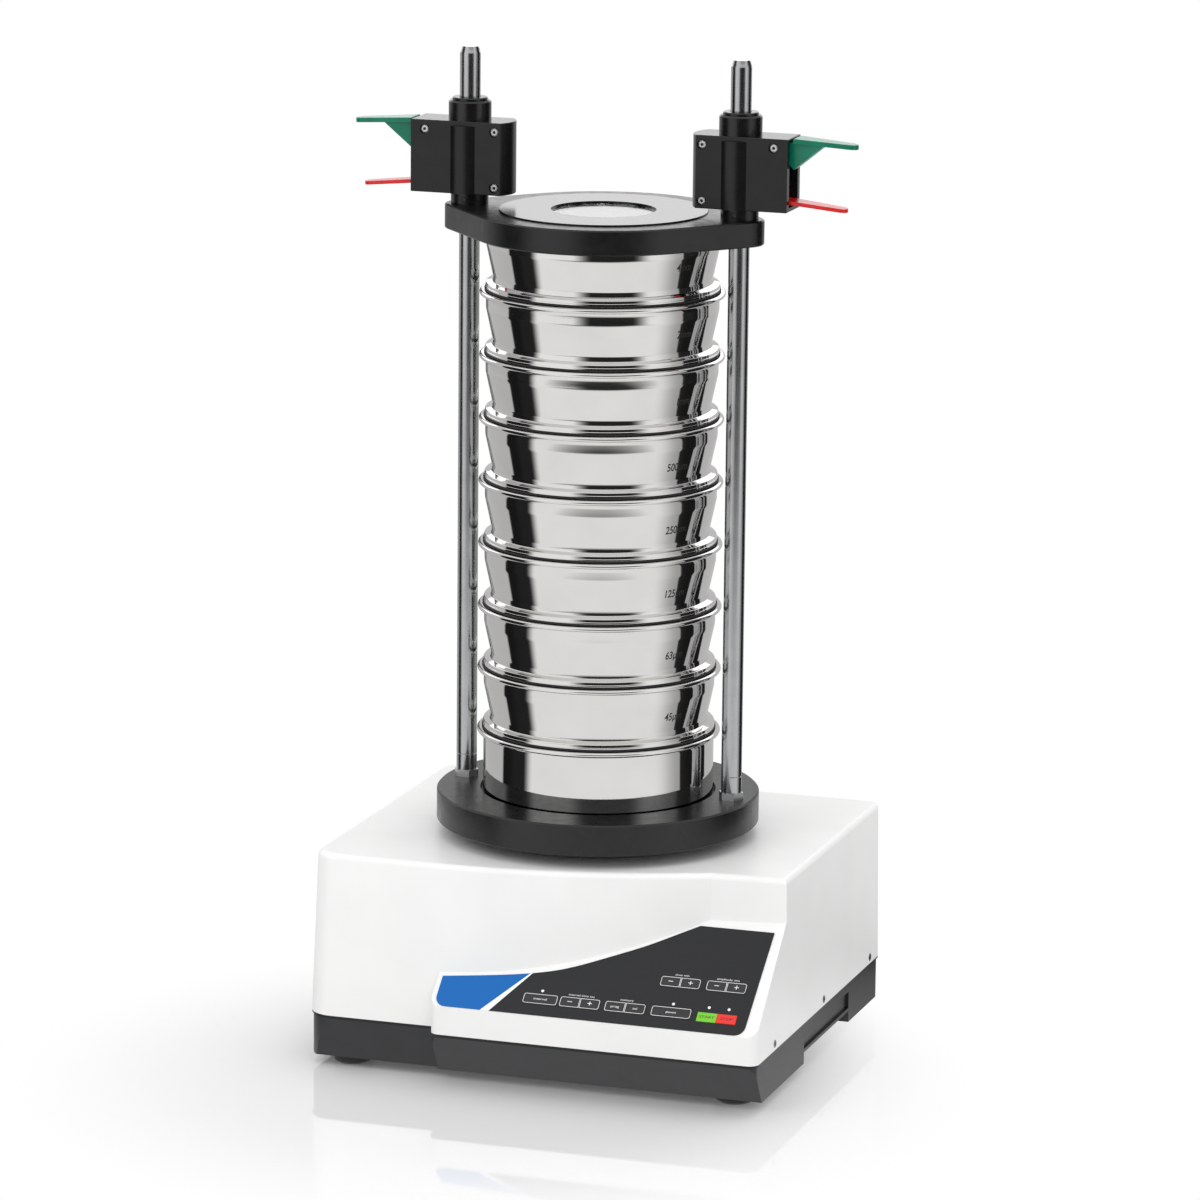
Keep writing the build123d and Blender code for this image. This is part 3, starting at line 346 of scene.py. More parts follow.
BORDER_BLACK = moulded_plastic("black_backed_acrylic", "#0F0F10", "#151516", 0.17, 0.5, 0.001)
SLEEVE_BLACK = black_anodising("black_anodised_sleeve", 0.24, 0.4, 0.003)
FOOT_RUBBER = rubber("foot_rubber", "#131314")
SEAL_RUBBER = rubber("nitrile_seal", "#0D0D0E")
ROD_CHROME = bare_metal("ground_steel_rod", "#B2B3B4", "#BCBDBE", 0.2, 0.4, (1, 1, 0.02), 0.0008)
SIEVE_STEEL = polished_steel("satin_polished_stainless", 0.04, 0.07)
PAN_STEEL = polished_steel("mirror_polished_stainless", 0.03, 0.05)
NUT_STEEL = bare_metal("zinc_plated_nut", "#D2D3D4", "#E0E0E1", 0.35)
SCREW_STEEL = bare_metal("stainless_screw", "#ECECEC", "#F2F2F2", 0.6)
PIN_STEEL = bare_metal("ground_pin_steel", "#A7A8AA", "#B8B9BB", 0.2)
HOUSING_SCREW = bare_metal("nickelled_screw", "#7E7F80", "#8C8D8E", 0.3)
SPRING_STEEL = bare_metal("spring_steel", "#77787A", "#8C8D90", 0.32, 0.3, (1, 1, 1))
ARMATURE_STEEL = bare_metal("rolled_steel_plate", "#6C6D70", "#808184", 0.42, 1.2, (1, 0.05, 1), 0.01)
COLUMN_ALLOY = bare_metal("turned_aluminium", "#A8A9AB", "#B9BABC", 0.3, 0.5)
CONTACT_BRASS = bare_metal("nickelled_brass", "#C9B27A", "#D8C48E", 0.2)
CORE_SHEETS = banded("laminated_core_sheet", "#3E3F42", "#5B5C60", 0.5, "Y", 0.9, 0.45)
COIL_WIRE = banded("enamelled_copper_wire", "#8A4420", "#B9642F", 1.0, "Z", 0.9, 0.3)
BOARD_MASK = laminate()
WINDOW_ACRYLIC = clear_acrylic()
FOIL_PRINT = printed_foil()
WHITE_INK = printing_ink("white_ink", "#EDEDED")
BLACK_INK = printing_ink("black_ink", "#16230E")
ETCHED = printing_ink("etched_mark", "#1E1E1F")
# Painted shade: near-black for the floors of the screw sockets, where shade falls
SOCKET_SHADE = printing_ink("painted_socket_shade", "#0B0B0C")

FINISHES = {
    "base_tray": TRAY_ABS,
    "housing_shell": HOUSING_PAINT,
    "rubber_feet": FOOT_RUBBER,
    "housing_screws": HOUSING_SCREW,
    "keypad_panel": FOIL_PRINT,
    "indicator_lamps": LAMP_LENS,
    "power_inlet": MODULE_ABS,
    "inlet_pins": CONTACT_BRASS,
    "mains_switch": MODULE_ABS,
    "circuit_board": BOARD_MASK,
    "magnet_core": CORE_SHEETS,
    "magnet_coil": COIL_WIRE,
    "drive_springs": SPRING_STEEL,
    "armature_plate": ARMATURE_STEEL,
    "drive_column": COLUMN_ALLOY,
    "sieve_plate": PLATE_BLACK,
    "support_rods": ROD_CHROME,
    "rod_nuts": NUT_STEEL,
    "collecting_pan": PAN_STEEL,
    "lid_plate": LID_BLACK,
    "lid_window": WINDOW_ACRYLIC,
    "clamp_sleeves": SLEEVE_BLACK,
    "clamp_collars": SLEEVE_BLACK,
    "clamp_screws": SCREW_STEEL,
    "lever_pins": PIN_STEEL,
    "left_clamp_housing": CLAMP_ABS,
    "right_clamp_housing": CLAMP_ABS,
    "left_clamp_lever": LEVER_GREEN,
    "right_clamp_lever": LEVER_GREEN,
    "left_release_lever": LEVER_RED,
    "right_release_lever": LEVER_RED,
    "key_start": START_FOIL,
    "key_stop": STOP_FOIL,
}

# Opening and wire of each sieve's cloth in millimetres, from the top sieve down
CLOTHS = (
    (4.0, 1.2), (2.0, 0.9), (1.0, 0.56), (0.5, 0.32),
    (0.25, 0.16), (0.125, 0.09), (0.063, 0.045), (0.045, 0.032))

for name, piece in nodes.items():
    if name.startswith("sieve_mesh_"):
        opening, wire = CLOTHS[int(name.split("_")[-1]) - 1]
        finish = woven_steel("woven_" + name, opening, wire)
    elif name.startswith("key_") and name not in FINISHES:
        finish = KEY_FOIL
    elif name.startswith("sieve_") and name != "sieve_plate":
        finish = SIEVE_STEEL
    else:
        finish = FINISHES[name]
    piece.data.materials.clear()
    piece.data.materials.append(finish)


# Pieces

def piece_from(name, mesh, material, body):
    """A new object at the origin that rides on a body."""
    made = bpy.data.objects.new(name, mesh)
    scene.collection.objects.link(made)
    mesh.materials.clear()
    mesh.materials.append(material)
    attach(made, body)
    return made


def flat_text(words, height_mm, stretch=1.0, bold=0.0):
    """Words as a thin flat mesh, centred on the origin; height_mm is that of a capital."""
    curve = bpy.data.curves.new(words, "FONT")
    curve.body = words
    curve.size = height_mm * MM / 0.7
    curve.align_x = "CENTER"
    curve.align_y = "CENTER"
    curve.resolution_u = 4
    curve.offset = bold * height_mm * MM
    curve.extrude = 0.01 * MM
    shape = bpy.data.objects.new(words, curve)
    scene.collection.objects.link(shape)
    bpy.context.view_layer.update()
    mesh = bpy.data.meshes.new_from_object(shape.evaluated_get(bpy.context.evaluated_depsgraph_get()))
    bpy.data.objects.remove(shape)
    mesh.transform(Matrix.Diagonal((stretch, 1, 1, 1)))
    return mesh


def on_foil(mesh, x_mm, s_mm, raised):
    """Lays a flat mesh on the sloping foil with its middle at x and s, s being down the slope."""
    height = FOIL_THICKNESS + (KEY_RAISE if raised else 0) + 0.02 * MM
    origin = SLOPE_TOP + Vector((x_mm * MM, 0, 0)) + DOWN_SLOPE * (s_mm * MM) + OFF_SLOPE * height
    up = -DOWN_SLOPE
    place = Matrix((
        (1, up.x, OFF_SLOPE.x, origin.x),
        (0, up.y, OFF_SLOPE.y, origin.y),
        (0, up.z, OFF_SLOPE.z, origin.z),
        (0, 0, 0, 1),
    ))
    mesh.transform(place)
    return mesh


def outline_strip(width, height, radius, line, open_side=None):
    """Printed line round a rounded rectangle, in millimetres.
    A side shared with a neighbour is one straight line."""
    made = bmesh.new()
    rings = []
    for inset in (0.0, line):
        ring = []
        for turn, (sx, sy) in enumerate(((1, 1), (-1, 1), (-1, -1), (1, -1))):
            bend = radius if open_side is None or sx != open_side else 0.001
            reach_x = width / 2 - bend
            reach_y = height / 2 - bend
            inner = max(bend - inset, 0.0005)
            for step in range(7):
                angle = math.pi / 2 * (turn + step / 6)
                x = sx * reach_x + math.cos(angle) * inner
                y = sy * reach_y + math.sin(angle) * inner
                if bend < radius:
                    x = sx * (width / 2 - inset)
                    y = sy * (height / 2 - inset)
                ring.append(made.verts.new((x * MM, y * MM, 0)))
        rings.append(ring)
    count = len(rings[0])
    for i in range(count):
        j = (i + 1) % count
        made.faces.new((rings[0][i], rings[0][j], rings[1][j], rings[1][i]))
    bmesh.ops.remove_doubles(made, verts=made.verts, dist=1e-7)
    lifted = bmesh.ops.extrude_face_region(made, geom=list(made.faces))
    moved = [v for v in lifted["geom"] if isinstance(v, bmesh.types.BMVert)]
    bmesh.ops.translate(made, verts=moved, vec=(0, 0, 0.02 * MM))
    bmesh.ops.recalc_face_normals(made, faces=made.faces)
    mesh = bpy.data.meshes.new("outline")
    made.to_mesh(mesh)
    made.free()
    return mesh


# Keys: node, middle x, middle s, width, height, word on it, side shared with its neighbour
KEY_HEIGHT = 10.0
KEYS = (
    ("interval", 11.3, 91.3, 30.6, KEY_HEIGHT, "interval", None),
    ("interval_minus", 37.85, 91.3, 17.7, KEY_HEIGHT, "−", 1),
    ("interval_plus", 55.75, 91.3, 17.7, KEY_HEIGHT, "+", -1),
    ("program", 78.4, 91.3, 17.8, KEY_HEIGHT, "prog", 1),
    ("select", 96.4, 91.3, 17.8, KEY_HEIGHT, "sel", -1),
    ("pause", 128.6, 91.3, 35.2, KEY_HEIGHT, "pause", None),
    ("start", 160.65, 92.7, 17.3, 9.2, "START", 1),
    ("stop", 178.15, 92.7, 17.3, 9.2, "STOP", -1),
    ("time_minus", 120.75, 60.8, 17.5, KEY_HEIGHT, "−", 1),
    ("time_plus", 138.45, 60.8, 17.5, KEY_HEIGHT, "+", -1),
    ("amplitude_minus", 161.75, 60.8, 17.5, KEY_HEIGHT, "−", 1),
    ("amplitude_plus", 179.45, 60.8, 17.5, KEY_HEIGHT, "+", -1),
)
for key, x, s, width, height, word, shared in KEYS:
    coloured = key in ("start", "stop")
    if word in "+−":
        mark = flat_text(word, 5.6, 1.1)
    else:
        mark = flat_text(word, 2.5 if coloured else 2.2, 1.3)
    ink = BLACK_INK if coloured else WHITE_INK
    piece_from("print_" + key, on_foil(mark, x, s, True), ink, key + "_button")
    if not coloured:
        strip = outline_strip(width - 0.3, height - 0.3, 2.0, 0.45, shared)
        piece_from("outline_" + key, on_foil(strip, x, s, True), WHITE_INK, key + "_button")

LABELS = (
    ("time min", 129.5, 53.2),
    ("amplitude mm", 170.5, 53.2),
    ("interval time sec", 46.8, 83.6),
    ("memory", 87.4, 83.6),
)
for words, x, s in LABELS:
    label = on_foil(flat_text(words, 1.9, 1.3), x, s, False)
    piece_from("label_" + words.replace(" ", "_"), label, WHITE_INK, "base")


def turned_mesh(profile, x, y, z, axis, steps=48):
    """Outline of (radius, height) in millimetres turned about an axis through a point.
    It ends on the axis, or else it is closed on itself."""
    made = bmesh.new()
    rings = []
    for radius, height in profile:
        if radius == 0:
            rings.append([made.verts.new((0, 0, height * MM))])
            continue
        rings.append([made.verts.new((
            radius * MM * math.cos(2 * math.pi * i / steps),
            radius * MM * math.sin(2 * math.pi * i / steps),
            height * MM)) for i in range(steps)])
    following = rings[1:] if profile[0][0] == 0 else rings[1:] + rings[:1]
    for low, high in zip(rings, following):
        for i in range(steps):
            j = (i + 1) % steps
            corners = [low[i % len(low)], low[j % len(low)], high[j % len(high)], high[i % len(high)]]
            unique = list(dict.fromkeys(corners))
            if len(unique) > 2:
                made.faces.new(unique)
    bmesh.ops.recalc_face_normals(made, faces=made.faces)
    mesh = bpy.data.meshes.new("turned")
    made.to_mesh(mesh)
    made.free()
    turn = Vector((0, 0, 1)).rotation_difference(axis).to_matrix().to_4x4()
    mesh.transform(Matrix.Translation((x, y, z)) @ turn)
    return mesh


def arc(radius, height, bend, start, end, steps=6):
    """Points of an outline's round corner, from one angle to another in degrees."""
    turns = [math.radians(start + (end - start) * i / steps) for i in range(steps + 1)]
    return [(radius + bend * math.cos(t), height + bend * math.sin(t)) for t in turns]


def rolled_rim():
    """Outline of the rolled rim from its inner edge to the wall below it, about its middle."""
    flare = [(WALL + 0.0014 * (13 - h) ** 2, -h) for h in range(4, 13, 2)]
    return (
        [(WALL - SHEET, RIM_HALF)]
        + arc(RIM - RIM_HALF, 0, RIM_HALF, 90, -90, 16)
        + arc(WALL + 1.6, -RIM_HALF - 1.4, 1.4, 90, 182)
        + flare
    )


def sieve_outline():
    """Outline of one sieve: rim, upper wall, taper, upright neck, stepped shoulder, seat and skirt."""
    lean = math.degrees(math.atan((WALL - NECK) / (40.6 - 14.0)))
    return (
        rolled_rim()
        + arc(WALL - 14, -14 + 14 * math.tan(math.radians(lean / 2)), 14, 0, -lean, 4)
        + arc(NECK + 3, -40.8, 3, 180 - lean, 180, 3)
        + arc(NECK + 0.8, -44.6, 0.8, 180, 262, 4)
        + arc(SHOULDER - 1.3, -47.4, 0.9, 84, 0)
        + [(SHOULDER - 0.4, -49.2), (SHOULDER - 0.3, -49.5)]
        + [(SHOULDER - 0.05, -49.7), (SHOULDER, -50.1)]
        + [(SHOULDER, -50.8), (WALL + 0.1, -51.0), (WALL + 0.1, -53.04), (SKIRT, -53.04)]
        + [(SKIRT, -62.0), (SKIRT - 0.6, -63.5), (SKIRT - 1.0, -63.5), (SKIRT - 1.0, -49.6)]
        + [(NECK + 0.3, -49.0), (NECK + 0.3, -47.8), (NECK + 2.3, -47.8), (NECK + 2.3, -47.2)]
        + [(NECK - SHEET, -47.2), (NECK - SHEET, -41.2), (WALL - SHEET, -14.0)]
    )


def pan_outline(bottom):
    """Outline of the pan: the same rim, a straight wall and a flat bottom with a round corner."""
    return (
        [(0, bottom + SHEET)]
        + arc(WALL - 2, bottom + 2, 2 - SHEET, -90, 0)
        + rolled_rim()
        + arc(WALL - 2, bottom + 2, 2, 0, -90)
        + [(0, bottom)]
    )


def steel_piece(name, outline, rim_z, node, body, finish):
    """A drawn steel piece, turned with smooth bends, in place of its plain solid."""
    mesh = turned_mesh(outline, 0, STACK_Y, rim_z, Vector((0, 0, 1)), 160)
    mesh.shade_smooth()
    mesh.set_sharp_from_angle(angle=math.radians(40))
    made = piece_from(name, mesh, finish, body)
    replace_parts(made, node)


SIEVE_OUTLINE = sieve_outline()
for number in range(1, SIEVE_COUNT + 1):
    steel_piece("sieve_frame_" + str(number), SIEVE_OUTLINE, sieve_rim(number),
                "sieve_" + str(number), "sieve_stage_" + str(number), SIEVE_STEEL)
steel_piece("pan_shell", pan_outline(-PAN_HEIGHT), PAN_RIM_Z, "collecting_pan", "pan", PAN_STEEL)


# Flat window in the lid: a border backed in black round a clear pane that lies a little lower
WINDOW_TOP = 1.4
WINDOW_LOW = -6.4
PANE_LOW = 2.3
BORDER_BEVEL = 0.2
border = turned_mesh([
    (PANE, WINDOW_TOP), (WINDOW - BORDER_BEVEL, WINDOW_TOP), (WINDOW, WINDOW_TOP - BORDER_BEVEL),
    (WINDOW, WINDOW_LOW), (PANE, WINDOW_LOW)], 0, STACK_Y, LID_TOP_Z, Vector((0, 0, 1)), 128)
border.shade_smooth()
border.set_sharp_from_angle(angle=math.radians(30))
piece_from("window_border", border, BORDER_BLACK, "lid")
PANE_FIT = 0.05
pane = turned_mesh([
    (0, WINDOW_TOP - PANE_LOW), (PANE - PANE_FIT, WINDOW_TOP - PANE_LOW),
    (PANE - PANE_FIT, WINDOW_LOW), (0, WINDOW_LOW)], 0, STACK_Y, LID_TOP_Z, Vector((0, 0, 1)), 128)
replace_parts(piece_from("window_pane", pane, WINDOW_ACRYLIC, "lid"), "lid_window")


def wall_radius(down_mm):
    """Radius of the sieve's outer wall at a distance below the middle of its rim, in metres."""
    wall = [(-h, r) for r, h in SIEVE_OUTLINE[:40] if -44 < h < -4]
    for (near, first), (far, second) in zip(wall, wall[1:]):
        if near <= down_mm <= far:
            return (first + (second - first) * (down_mm - near) / (far - near)) * MM
    return WALL * MM


def wall_text(words, height_mm, angle, down_mm, rim_z):
    """Words etched on a sieve's drawn wall, bent round it; angle is from the front, to the right."""
    mesh = flat_text(words, height_mm, 0.85, 0.02)
    for vertex in mesh.vertices:
        down = down_mm - vertex.co.y / MM
        radius = wall_radius(down) + 0.04 * MM + vertex.co.z
        turn = angle + vertex.co.x / radius
        vertex.co = Vector((
            radius * math.sin(turn), STACK_Y - radius * math.cos(turn), rim_z - down * MM))
    return mesh


# Each sieve's aperture, the way round to it in degrees and how far below the rim it is etched
MARKS = (
    ("4mm", 62.5, 22.1), ("2mm", 63.5, 24.8), ("1mm", 63.5, 27.7), ("500µm", 60.5, 29.0),
    ("250µm", 60.0, 28.4), ("125µm", 59.5, 29.0), ("63µm", 59.5, 28.2), ("45µm", 59.5, 27.3),
)
for number, (words, turn, down) in enumerate(MARKS, 1):
    mesh = wall_text(words, 6.8, math.radians(turn), down, sieve_rim(number))
    body = "sieve_stage_" + str(number)
    piece_from("aperture_mark_" + str(number), mesh, ETCHED, body)


def tree_inputs(name, inputs):
    """A Geometry Nodes tree with named number inputs and one geometry output."""
    tree = bpy.data.node_groups.new(name, "GeometryNodeTree")
    tree.interface.new_socket("Geometry", in_out="OUTPUT", socket_type="NodeSocketGeometry")
    for label, kind in inputs:
        tree.interface.new_socket(label, in_out="INPUT", socket_type=kind)
    return tree, add(tree, "NodeGroupInput"), add(tree, "NodeGroupOutput")


def grown(name, tree, values):
    """Runs a Geometry Nodes tree with the given inputs and returns its plain mesh."""
    holder = bpy.data.objects.new(name, bpy.data.meshes.new(name))
    scene.collection.objects.link(holder)
    modifier = holder.modifiers.new(name, "NODES")
    modifier.node_group = tree
    for item in tree.interface.items_tree:
        if item.in_out == "INPUT" and item.name in values:
            modifier[item.identifier] = values[item.name]
    holder.update_tag()
    bpy.context.view_layer.update()
    mesh = bpy.data.meshes.new_from_object(holder.evaluated_get(bpy.context.evaluated_depsgraph_get()))
    holder.modifiers.remove(modifier)
    bpy.data.objects.remove(holder)
    return mesh


def seal_tree():
    """A round cord bent to a ring."""
    tree, given, result = tree_inputs("seal_ring", (
        ("Radius", "NodeSocketFloat"), ("Section", "NodeSocketFloat"), ("Height", "NodeSocketFloat"),
        ("Depth", "NodeSocketFloat"), ("Material", "NodeSocketMaterial")))
    ring = add(tree, "GeometryNodeCurvePrimitiveCircle", [
        ("Resolution", 160), ("Radius", given.outputs["Radius"])])
    section = add(tree, "GeometryNodeCurvePrimitiveCircle", [
        ("Resolution", 12), ("Radius", given.outputs["Section"])])
    tube = add(tree, "GeometryNodeCurveToMesh", [
        ("Curve", ring.outputs["Curve"]), ("Profile Curve", section.outputs["Curve"])])
    place = add(tree, "ShaderNodeCombineXYZ", [
        ("Y", given.outputs["Depth"]), ("Z", given.outputs["Height"])])
    moved = add(tree, "GeometryNodeTransform", [
        ("Geometry", tube.outputs[0]), ("Translation", place.outputs[0])])
    smooth = add(tree, "GeometryNodeSetShadeSmooth", [("Geometry", moved.outputs[0])])
    real = add(tree, "GeometryNodeRealizeInstances", [("Geometry", smooth.outputs[0])])
    made = add(tree, "GeometryNodeSetMaterial", [
        ("Geometry", real.outputs[0]), ("Material", given.outputs["Material"])])
    tree.links.new(made.outputs[0], result.inputs[0])
    return tree


SEAL_TREE = seal_tree()
for number in range(1, SIEVE_COUNT + 1):
    name = "seal_ring_" + str(number)
    mesh = grown(name, SEAL_TREE, {
        "Radius": SEAL_RADIUS,
        "Section": SEAL_SECTION,
        "Height": sieve_rim(number) - SEAT_DOWN + SEAL_SECTION,
        "Depth": STACK_Y,
        "Material": SEAL_RUBBER,
    })
    piece_from(name, mesh, SEAL_RUBBER, "sieve_stage_" + str(number))


def cloth_tree():
    """Woven wire cloth: wires that pass over and under each other, cut to its round frame."""
    tree, given, result = tree_inputs("wire_cloth", (
        ("Pitch", "NodeSocketFloat"), ("Wire", "NodeSocketFloat"), ("Radius", "NodeSocketFloat"),
        ("Count", "NodeSocketInt"), ("Height", "NodeSocketFloat"), ("Depth", "NodeSocketFloat"),
        ("Material", "NodeSocketMaterial")))
    pitch = given.outputs["Pitch"]
    half = add(tree, "ShaderNodeMath", [(0, given.outputs["Count"]), (1, 0.5)], operation="MULTIPLY")
    first = add(tree, "ShaderNodeMath", [(0, 0.5), (1, half.outputs[0])], operation="SUBTRACT")
    start = add(tree, "ShaderNodeMath", [(0, first.outputs[0]), (1, pitch)], operation="MULTIPLY")
    start_at = add(tree, "ShaderNodeCombineXYZ", [("X", start.outputs[0])])
    step = add(tree, "ShaderNodeCombineXYZ", [("X", pitch)])
    row = add(tree, "GeometryNodeMeshLine", [
        ("Count", given.outputs["Count"]), ("Start Location", start_at.outputs[0]),
        ("Offset", step.outputs[0])])
    where = add(tree, "GeometryNodeInputPosition")
    split = add(tree, "ShaderNodeSeparateXYZ", [("Vector", where.outputs[0])])
    square = add(tree, "ShaderNodeMath", [(0, split.outputs["X"]), (1, 2.0)], operation="POWER")
    radius_square = add(tree, "ShaderNodeMath", [
        (0, given.outputs["Radius"]), (1, 2.0)], operation="POWER")
    rest = add(tree, "ShaderNodeMath", [
        (0, radius_square.outputs[0]), (1, square.outputs[0])], operation="SUBTRACT")
    reach = add(tree, "ShaderNodeMath", [(0, rest.outputs[0])], operation="SQRT")
    size = add(tree, "ShaderNodeCombineXYZ", [("X", 1.0), ("Y", reach.outputs[0]), ("Z", 1.0)])
    wire = add(tree, "GeometryNodeCurvePrimitiveLine", [("Start", (0, -1, 0)), ("End", (0, 1, 0))])
    wires = add(tree, "GeometryNodeInstanceOnPoints", [
        ("Points", row.outputs[0]), ("Instance", wire.outputs[0]), ("Scale", size.outputs[0])])
    loose = add(tree, "GeometryNodeRealizeInstances", [("Geometry", wires.outputs[0])])
    quarter = add(tree, "ShaderNodeMath", [(0, pitch), (1, 0.25)], operation="MULTIPLY")
    fine = add(tree, "GeometryNodeResampleCurve", [
        ("Curve", loose.outputs[0]), ("Length", quarter.outputs[0])], mode="LENGTH")
    along = add(tree, "ShaderNodeMath", [(0, split.outputs["Y"]), (1, pitch)], operation="DIVIDE")
    across = add(tree, "ShaderNodeMath", [(0, split.outputs["X"]), (1, pitch)], operation="DIVIDE")
    whole = add(tree, "ShaderNodeMath", [(0, across.outputs[0])], operation="FLOOR")
    phase = add(tree, "ShaderNodeMath", [(0, along.outputs[0]), (1, whole.outputs[0])], operation="ADD")
    shift = add(tree, "ShaderNodeMath", [(0, phase.outputs[0]), (1, 0.5)], operation="SUBTRACT")
    angle = add(tree, "ShaderNodeMath", [(0, shift.outputs[0]), (1, math.pi)], operation="MULTIPLY")
    wave = add(tree, "ShaderNodeMath", [(0, angle.outputs[0])], operation="COSINE")
    swing = add(tree, "ShaderNodeMath", [(0, given.outputs["Wire"]), (1, 0.5)], operation="MULTIPLY")
    lift = add(tree, "ShaderNodeMath", [
        (0, wave.outputs[0]), (1, swing.outputs[0])], operation="MULTIPLY")
    up = add(tree, "ShaderNodeCombineXYZ", [("Z", lift.outputs[0])])
    bent = add(tree, "GeometryNodeSetPosition", [
        ("Geometry", fine.outputs[0]), ("Offset", up.outputs[0])])
    section = add(tree, "GeometryNodeCurvePrimitiveCircle", [
        ("Resolution", 6), ("Radius", swing.outputs[0])])
    tubes = add(tree, "GeometryNodeCurveToMesh", [
        ("Curve", bent.outputs[0]), ("Profile Curve", section.outputs["Curve"]), ("Fill Caps", True)])
    turned = add(tree, "GeometryNodeTransform", [
        ("Geometry", tubes.outputs[0]), ("Rotation", (0, 0, math.pi / 2))])
    both = add(tree, "GeometryNodeJoinGeometry")
    tree.links.new(tubes.outputs[0], both.inputs[0])
    tree.links.new(turned.outputs[0], both.inputs[0])
    place = add(tree, "ShaderNodeCombineXYZ", [
        ("Y", given.outputs["Depth"]), ("Z", given.outputs["Height"])])
    moved = add(tree, "GeometryNodeTransform", [
        ("Geometry", both.outputs[0]), ("Translation", place.outputs[0])])
    smooth = add(tree, "GeometryNodeSetShadeSmooth", [("Geometry", moved.outputs[0])])
    real = add(tree, "GeometryNodeRealizeInstances", [("Geometry", smooth.outputs[0])])
    made = add(tree, "GeometryNodeSetMaterial", [
        ("Geometry", real.outputs[0]), ("Material", given.outputs["Material"])])
    tree.links.new(made.outputs[0], result.inputs[0])
    return tree


CLOTH_STEEL = bare_metal("drawn_sieve_wire", "#B4B3B0", "#C9C8C5", 0.25, 0.3, (1, 1, 1))
CLOTH_TREE = cloth_tree()
opening, wire = CLOTHS[0]
step = (opening + wire) * MM
top_cloth = piece_from("wire_cloth_1", grown("wire_cloth_1", CLOTH_TREE, {
    "Pitch": step,
    "Wire": wire * MM,
    "Radius": MESH_RADIUS,
    "Count": 2 * int(MESH_RADIUS / step),
    "Height": sieve_rim(1) - MESH_DOWN,
    "Depth": STACK_Y,
    "Material": CLOTH_STEEL,
}), CLOTH_STEEL, "sieve_stage_1")
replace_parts(top_cloth, "sieve_mesh_1")


# Set screws in the front of the guide sleeves, blackened, with a socket
for side, x in (("left", -ROD_X), ("right", ROD_X)):
    front = STACK_Y - SLEEVE_COLLAR_RADIUS
    middle = (LID_TOP_Z + CLAMP_BOTTOM_Z) / 2
    profile = ((0, -1.5), (2.6, -1.5), (2.6, 0.15), (2.2, 0.35), (1.4, 0.35), (1.4, -0.8), (0, -0.8))
    mesh = turned_mesh(profile, x, front, middle, Vector((0, -1, 0)), 24)
    piece_from("set_screw_" + side, mesh, SLEEVE_BLACK, "lid")

# Dark hexagon painted as the shade in each clamp screw's socket, 0.05 mm in front of the socket's
# floor:
# the clamp's half depth, less the screw's sink, plus the floor's 0.4 mm and that 0.05
CLAMP_SOCKET = 19.0 - 2.2 + 0.45
CLAMP_SCREW_PLACES = ((35.0, 802.12), (-28.6, 802.12), (-28.6, 753.62))
for name, signs in (("left", -1), ("right", 1)):
    for index, (out, z) in enumerate(CLAMP_SCREW_PLACES):
        x = signs * (ROD_X + out * MM)
        front = STACK_Y - CLAMP_SOCKET * MM
        profile = ((0, 0), (1.42, 0), (1.42, 0.05), (0, 0.05))
        mesh = turned_mesh(profile, x, front, z * MM, Vector((0, -1, 0)), 6)
        piece_from("socket_" + name + "_" + str(index), mesh, SOCKET_SHADE, "lid")


# Each housing screw's domed head on the shell's side wall, with a dark hexagon painted as the shade in
# its socket;
# the CAD screws lie under a 0.1 mm skin of the shell and don't show
for name, side in (("left", -1), ("right", 1)):
    for index, y in enumerate(SIDE_SCREW_Y):
        out = Vector((side, 0, 0))
        dome = ((0, -0.3), (3.5, -0.3), (3.5, 0.12), (2.9, 0.42), (0, 0.42))
        mesh = turned_mesh(dome, side * SIDE_SCREW_X, y, SIDE_SCREW_Z, out, 32)
        piece_from("housing_head_" + name + "_" + str(index), mesh, HOUSING_SCREW,
                   "base")
        # Painted shade: a flat dark hexagon for the socket's recess
        hexagon = ((0, 0.3), (1.8, 0.3), (1.8, 0.47), (0, 0.47))
        mesh = turned_mesh(hexagon, side * SIDE_SCREW_X, y, SIDE_SCREW_Z, out, 6)
        piece_from("housing_socket_" + name + "_" + str(index), mesh, SOCKET_SHADE,
                   "base")


# Studio

def side_screens(tree, x, y):
    """How bright the studio's sides look in metal, by the way round from the camera's side:
    a dark screen on the left, and on the right a grey one that deepens to a dark one."""
    front = add(tree, "ShaderNodeMath", [(0, y), (1, -1.0)], operation="MULTIPLY")
    turn = add(tree, "ShaderNodeMath", [(0, x), (1, front.outputs[0])], operation="ARCTAN2")
    level = 1.0
    for start, full, low, end, gone in (
            (-108, -105, 0.02, -77, -66), (54, 85, 0.45, 86, 87), (85, 87, 0.02, 128, 130)):
        start, full, end, gone = (CAMERA_AZIMUTH + math.radians(a) for a in (start, full, end, gone))
        rise = add(tree, "ShaderNodeMapRange", [
            ("Value", turn.outputs[0]), ("From Min", start), ("From Max", full)],
            interpolation_type="SMOOTHSTEP")
        fall = add(tree, "ShaderNodeMapRange", [
            ("Value", turn.outputs[0]), ("From Min", gone), ("From Max", end)],
            interpolation_type="SMOOTHSTEP")
        cover = add(tree, "ShaderNodeMath", [
            (0, rise.outputs["Result"]), (1, fall.outputs["Result"])], operation="MULTIPLY")
        left = add(tree, "ShaderNodeMapRange", [
            ("Value", cover.outputs[0]), ("To Min", 1.0), ("To Max", low)])
        both = add(tree, "ShaderNodeMath", [
            (0, left.outputs["Result"]), (1, level)], operation="MULTIPLY")
        level = both.outputs[0]
    return level


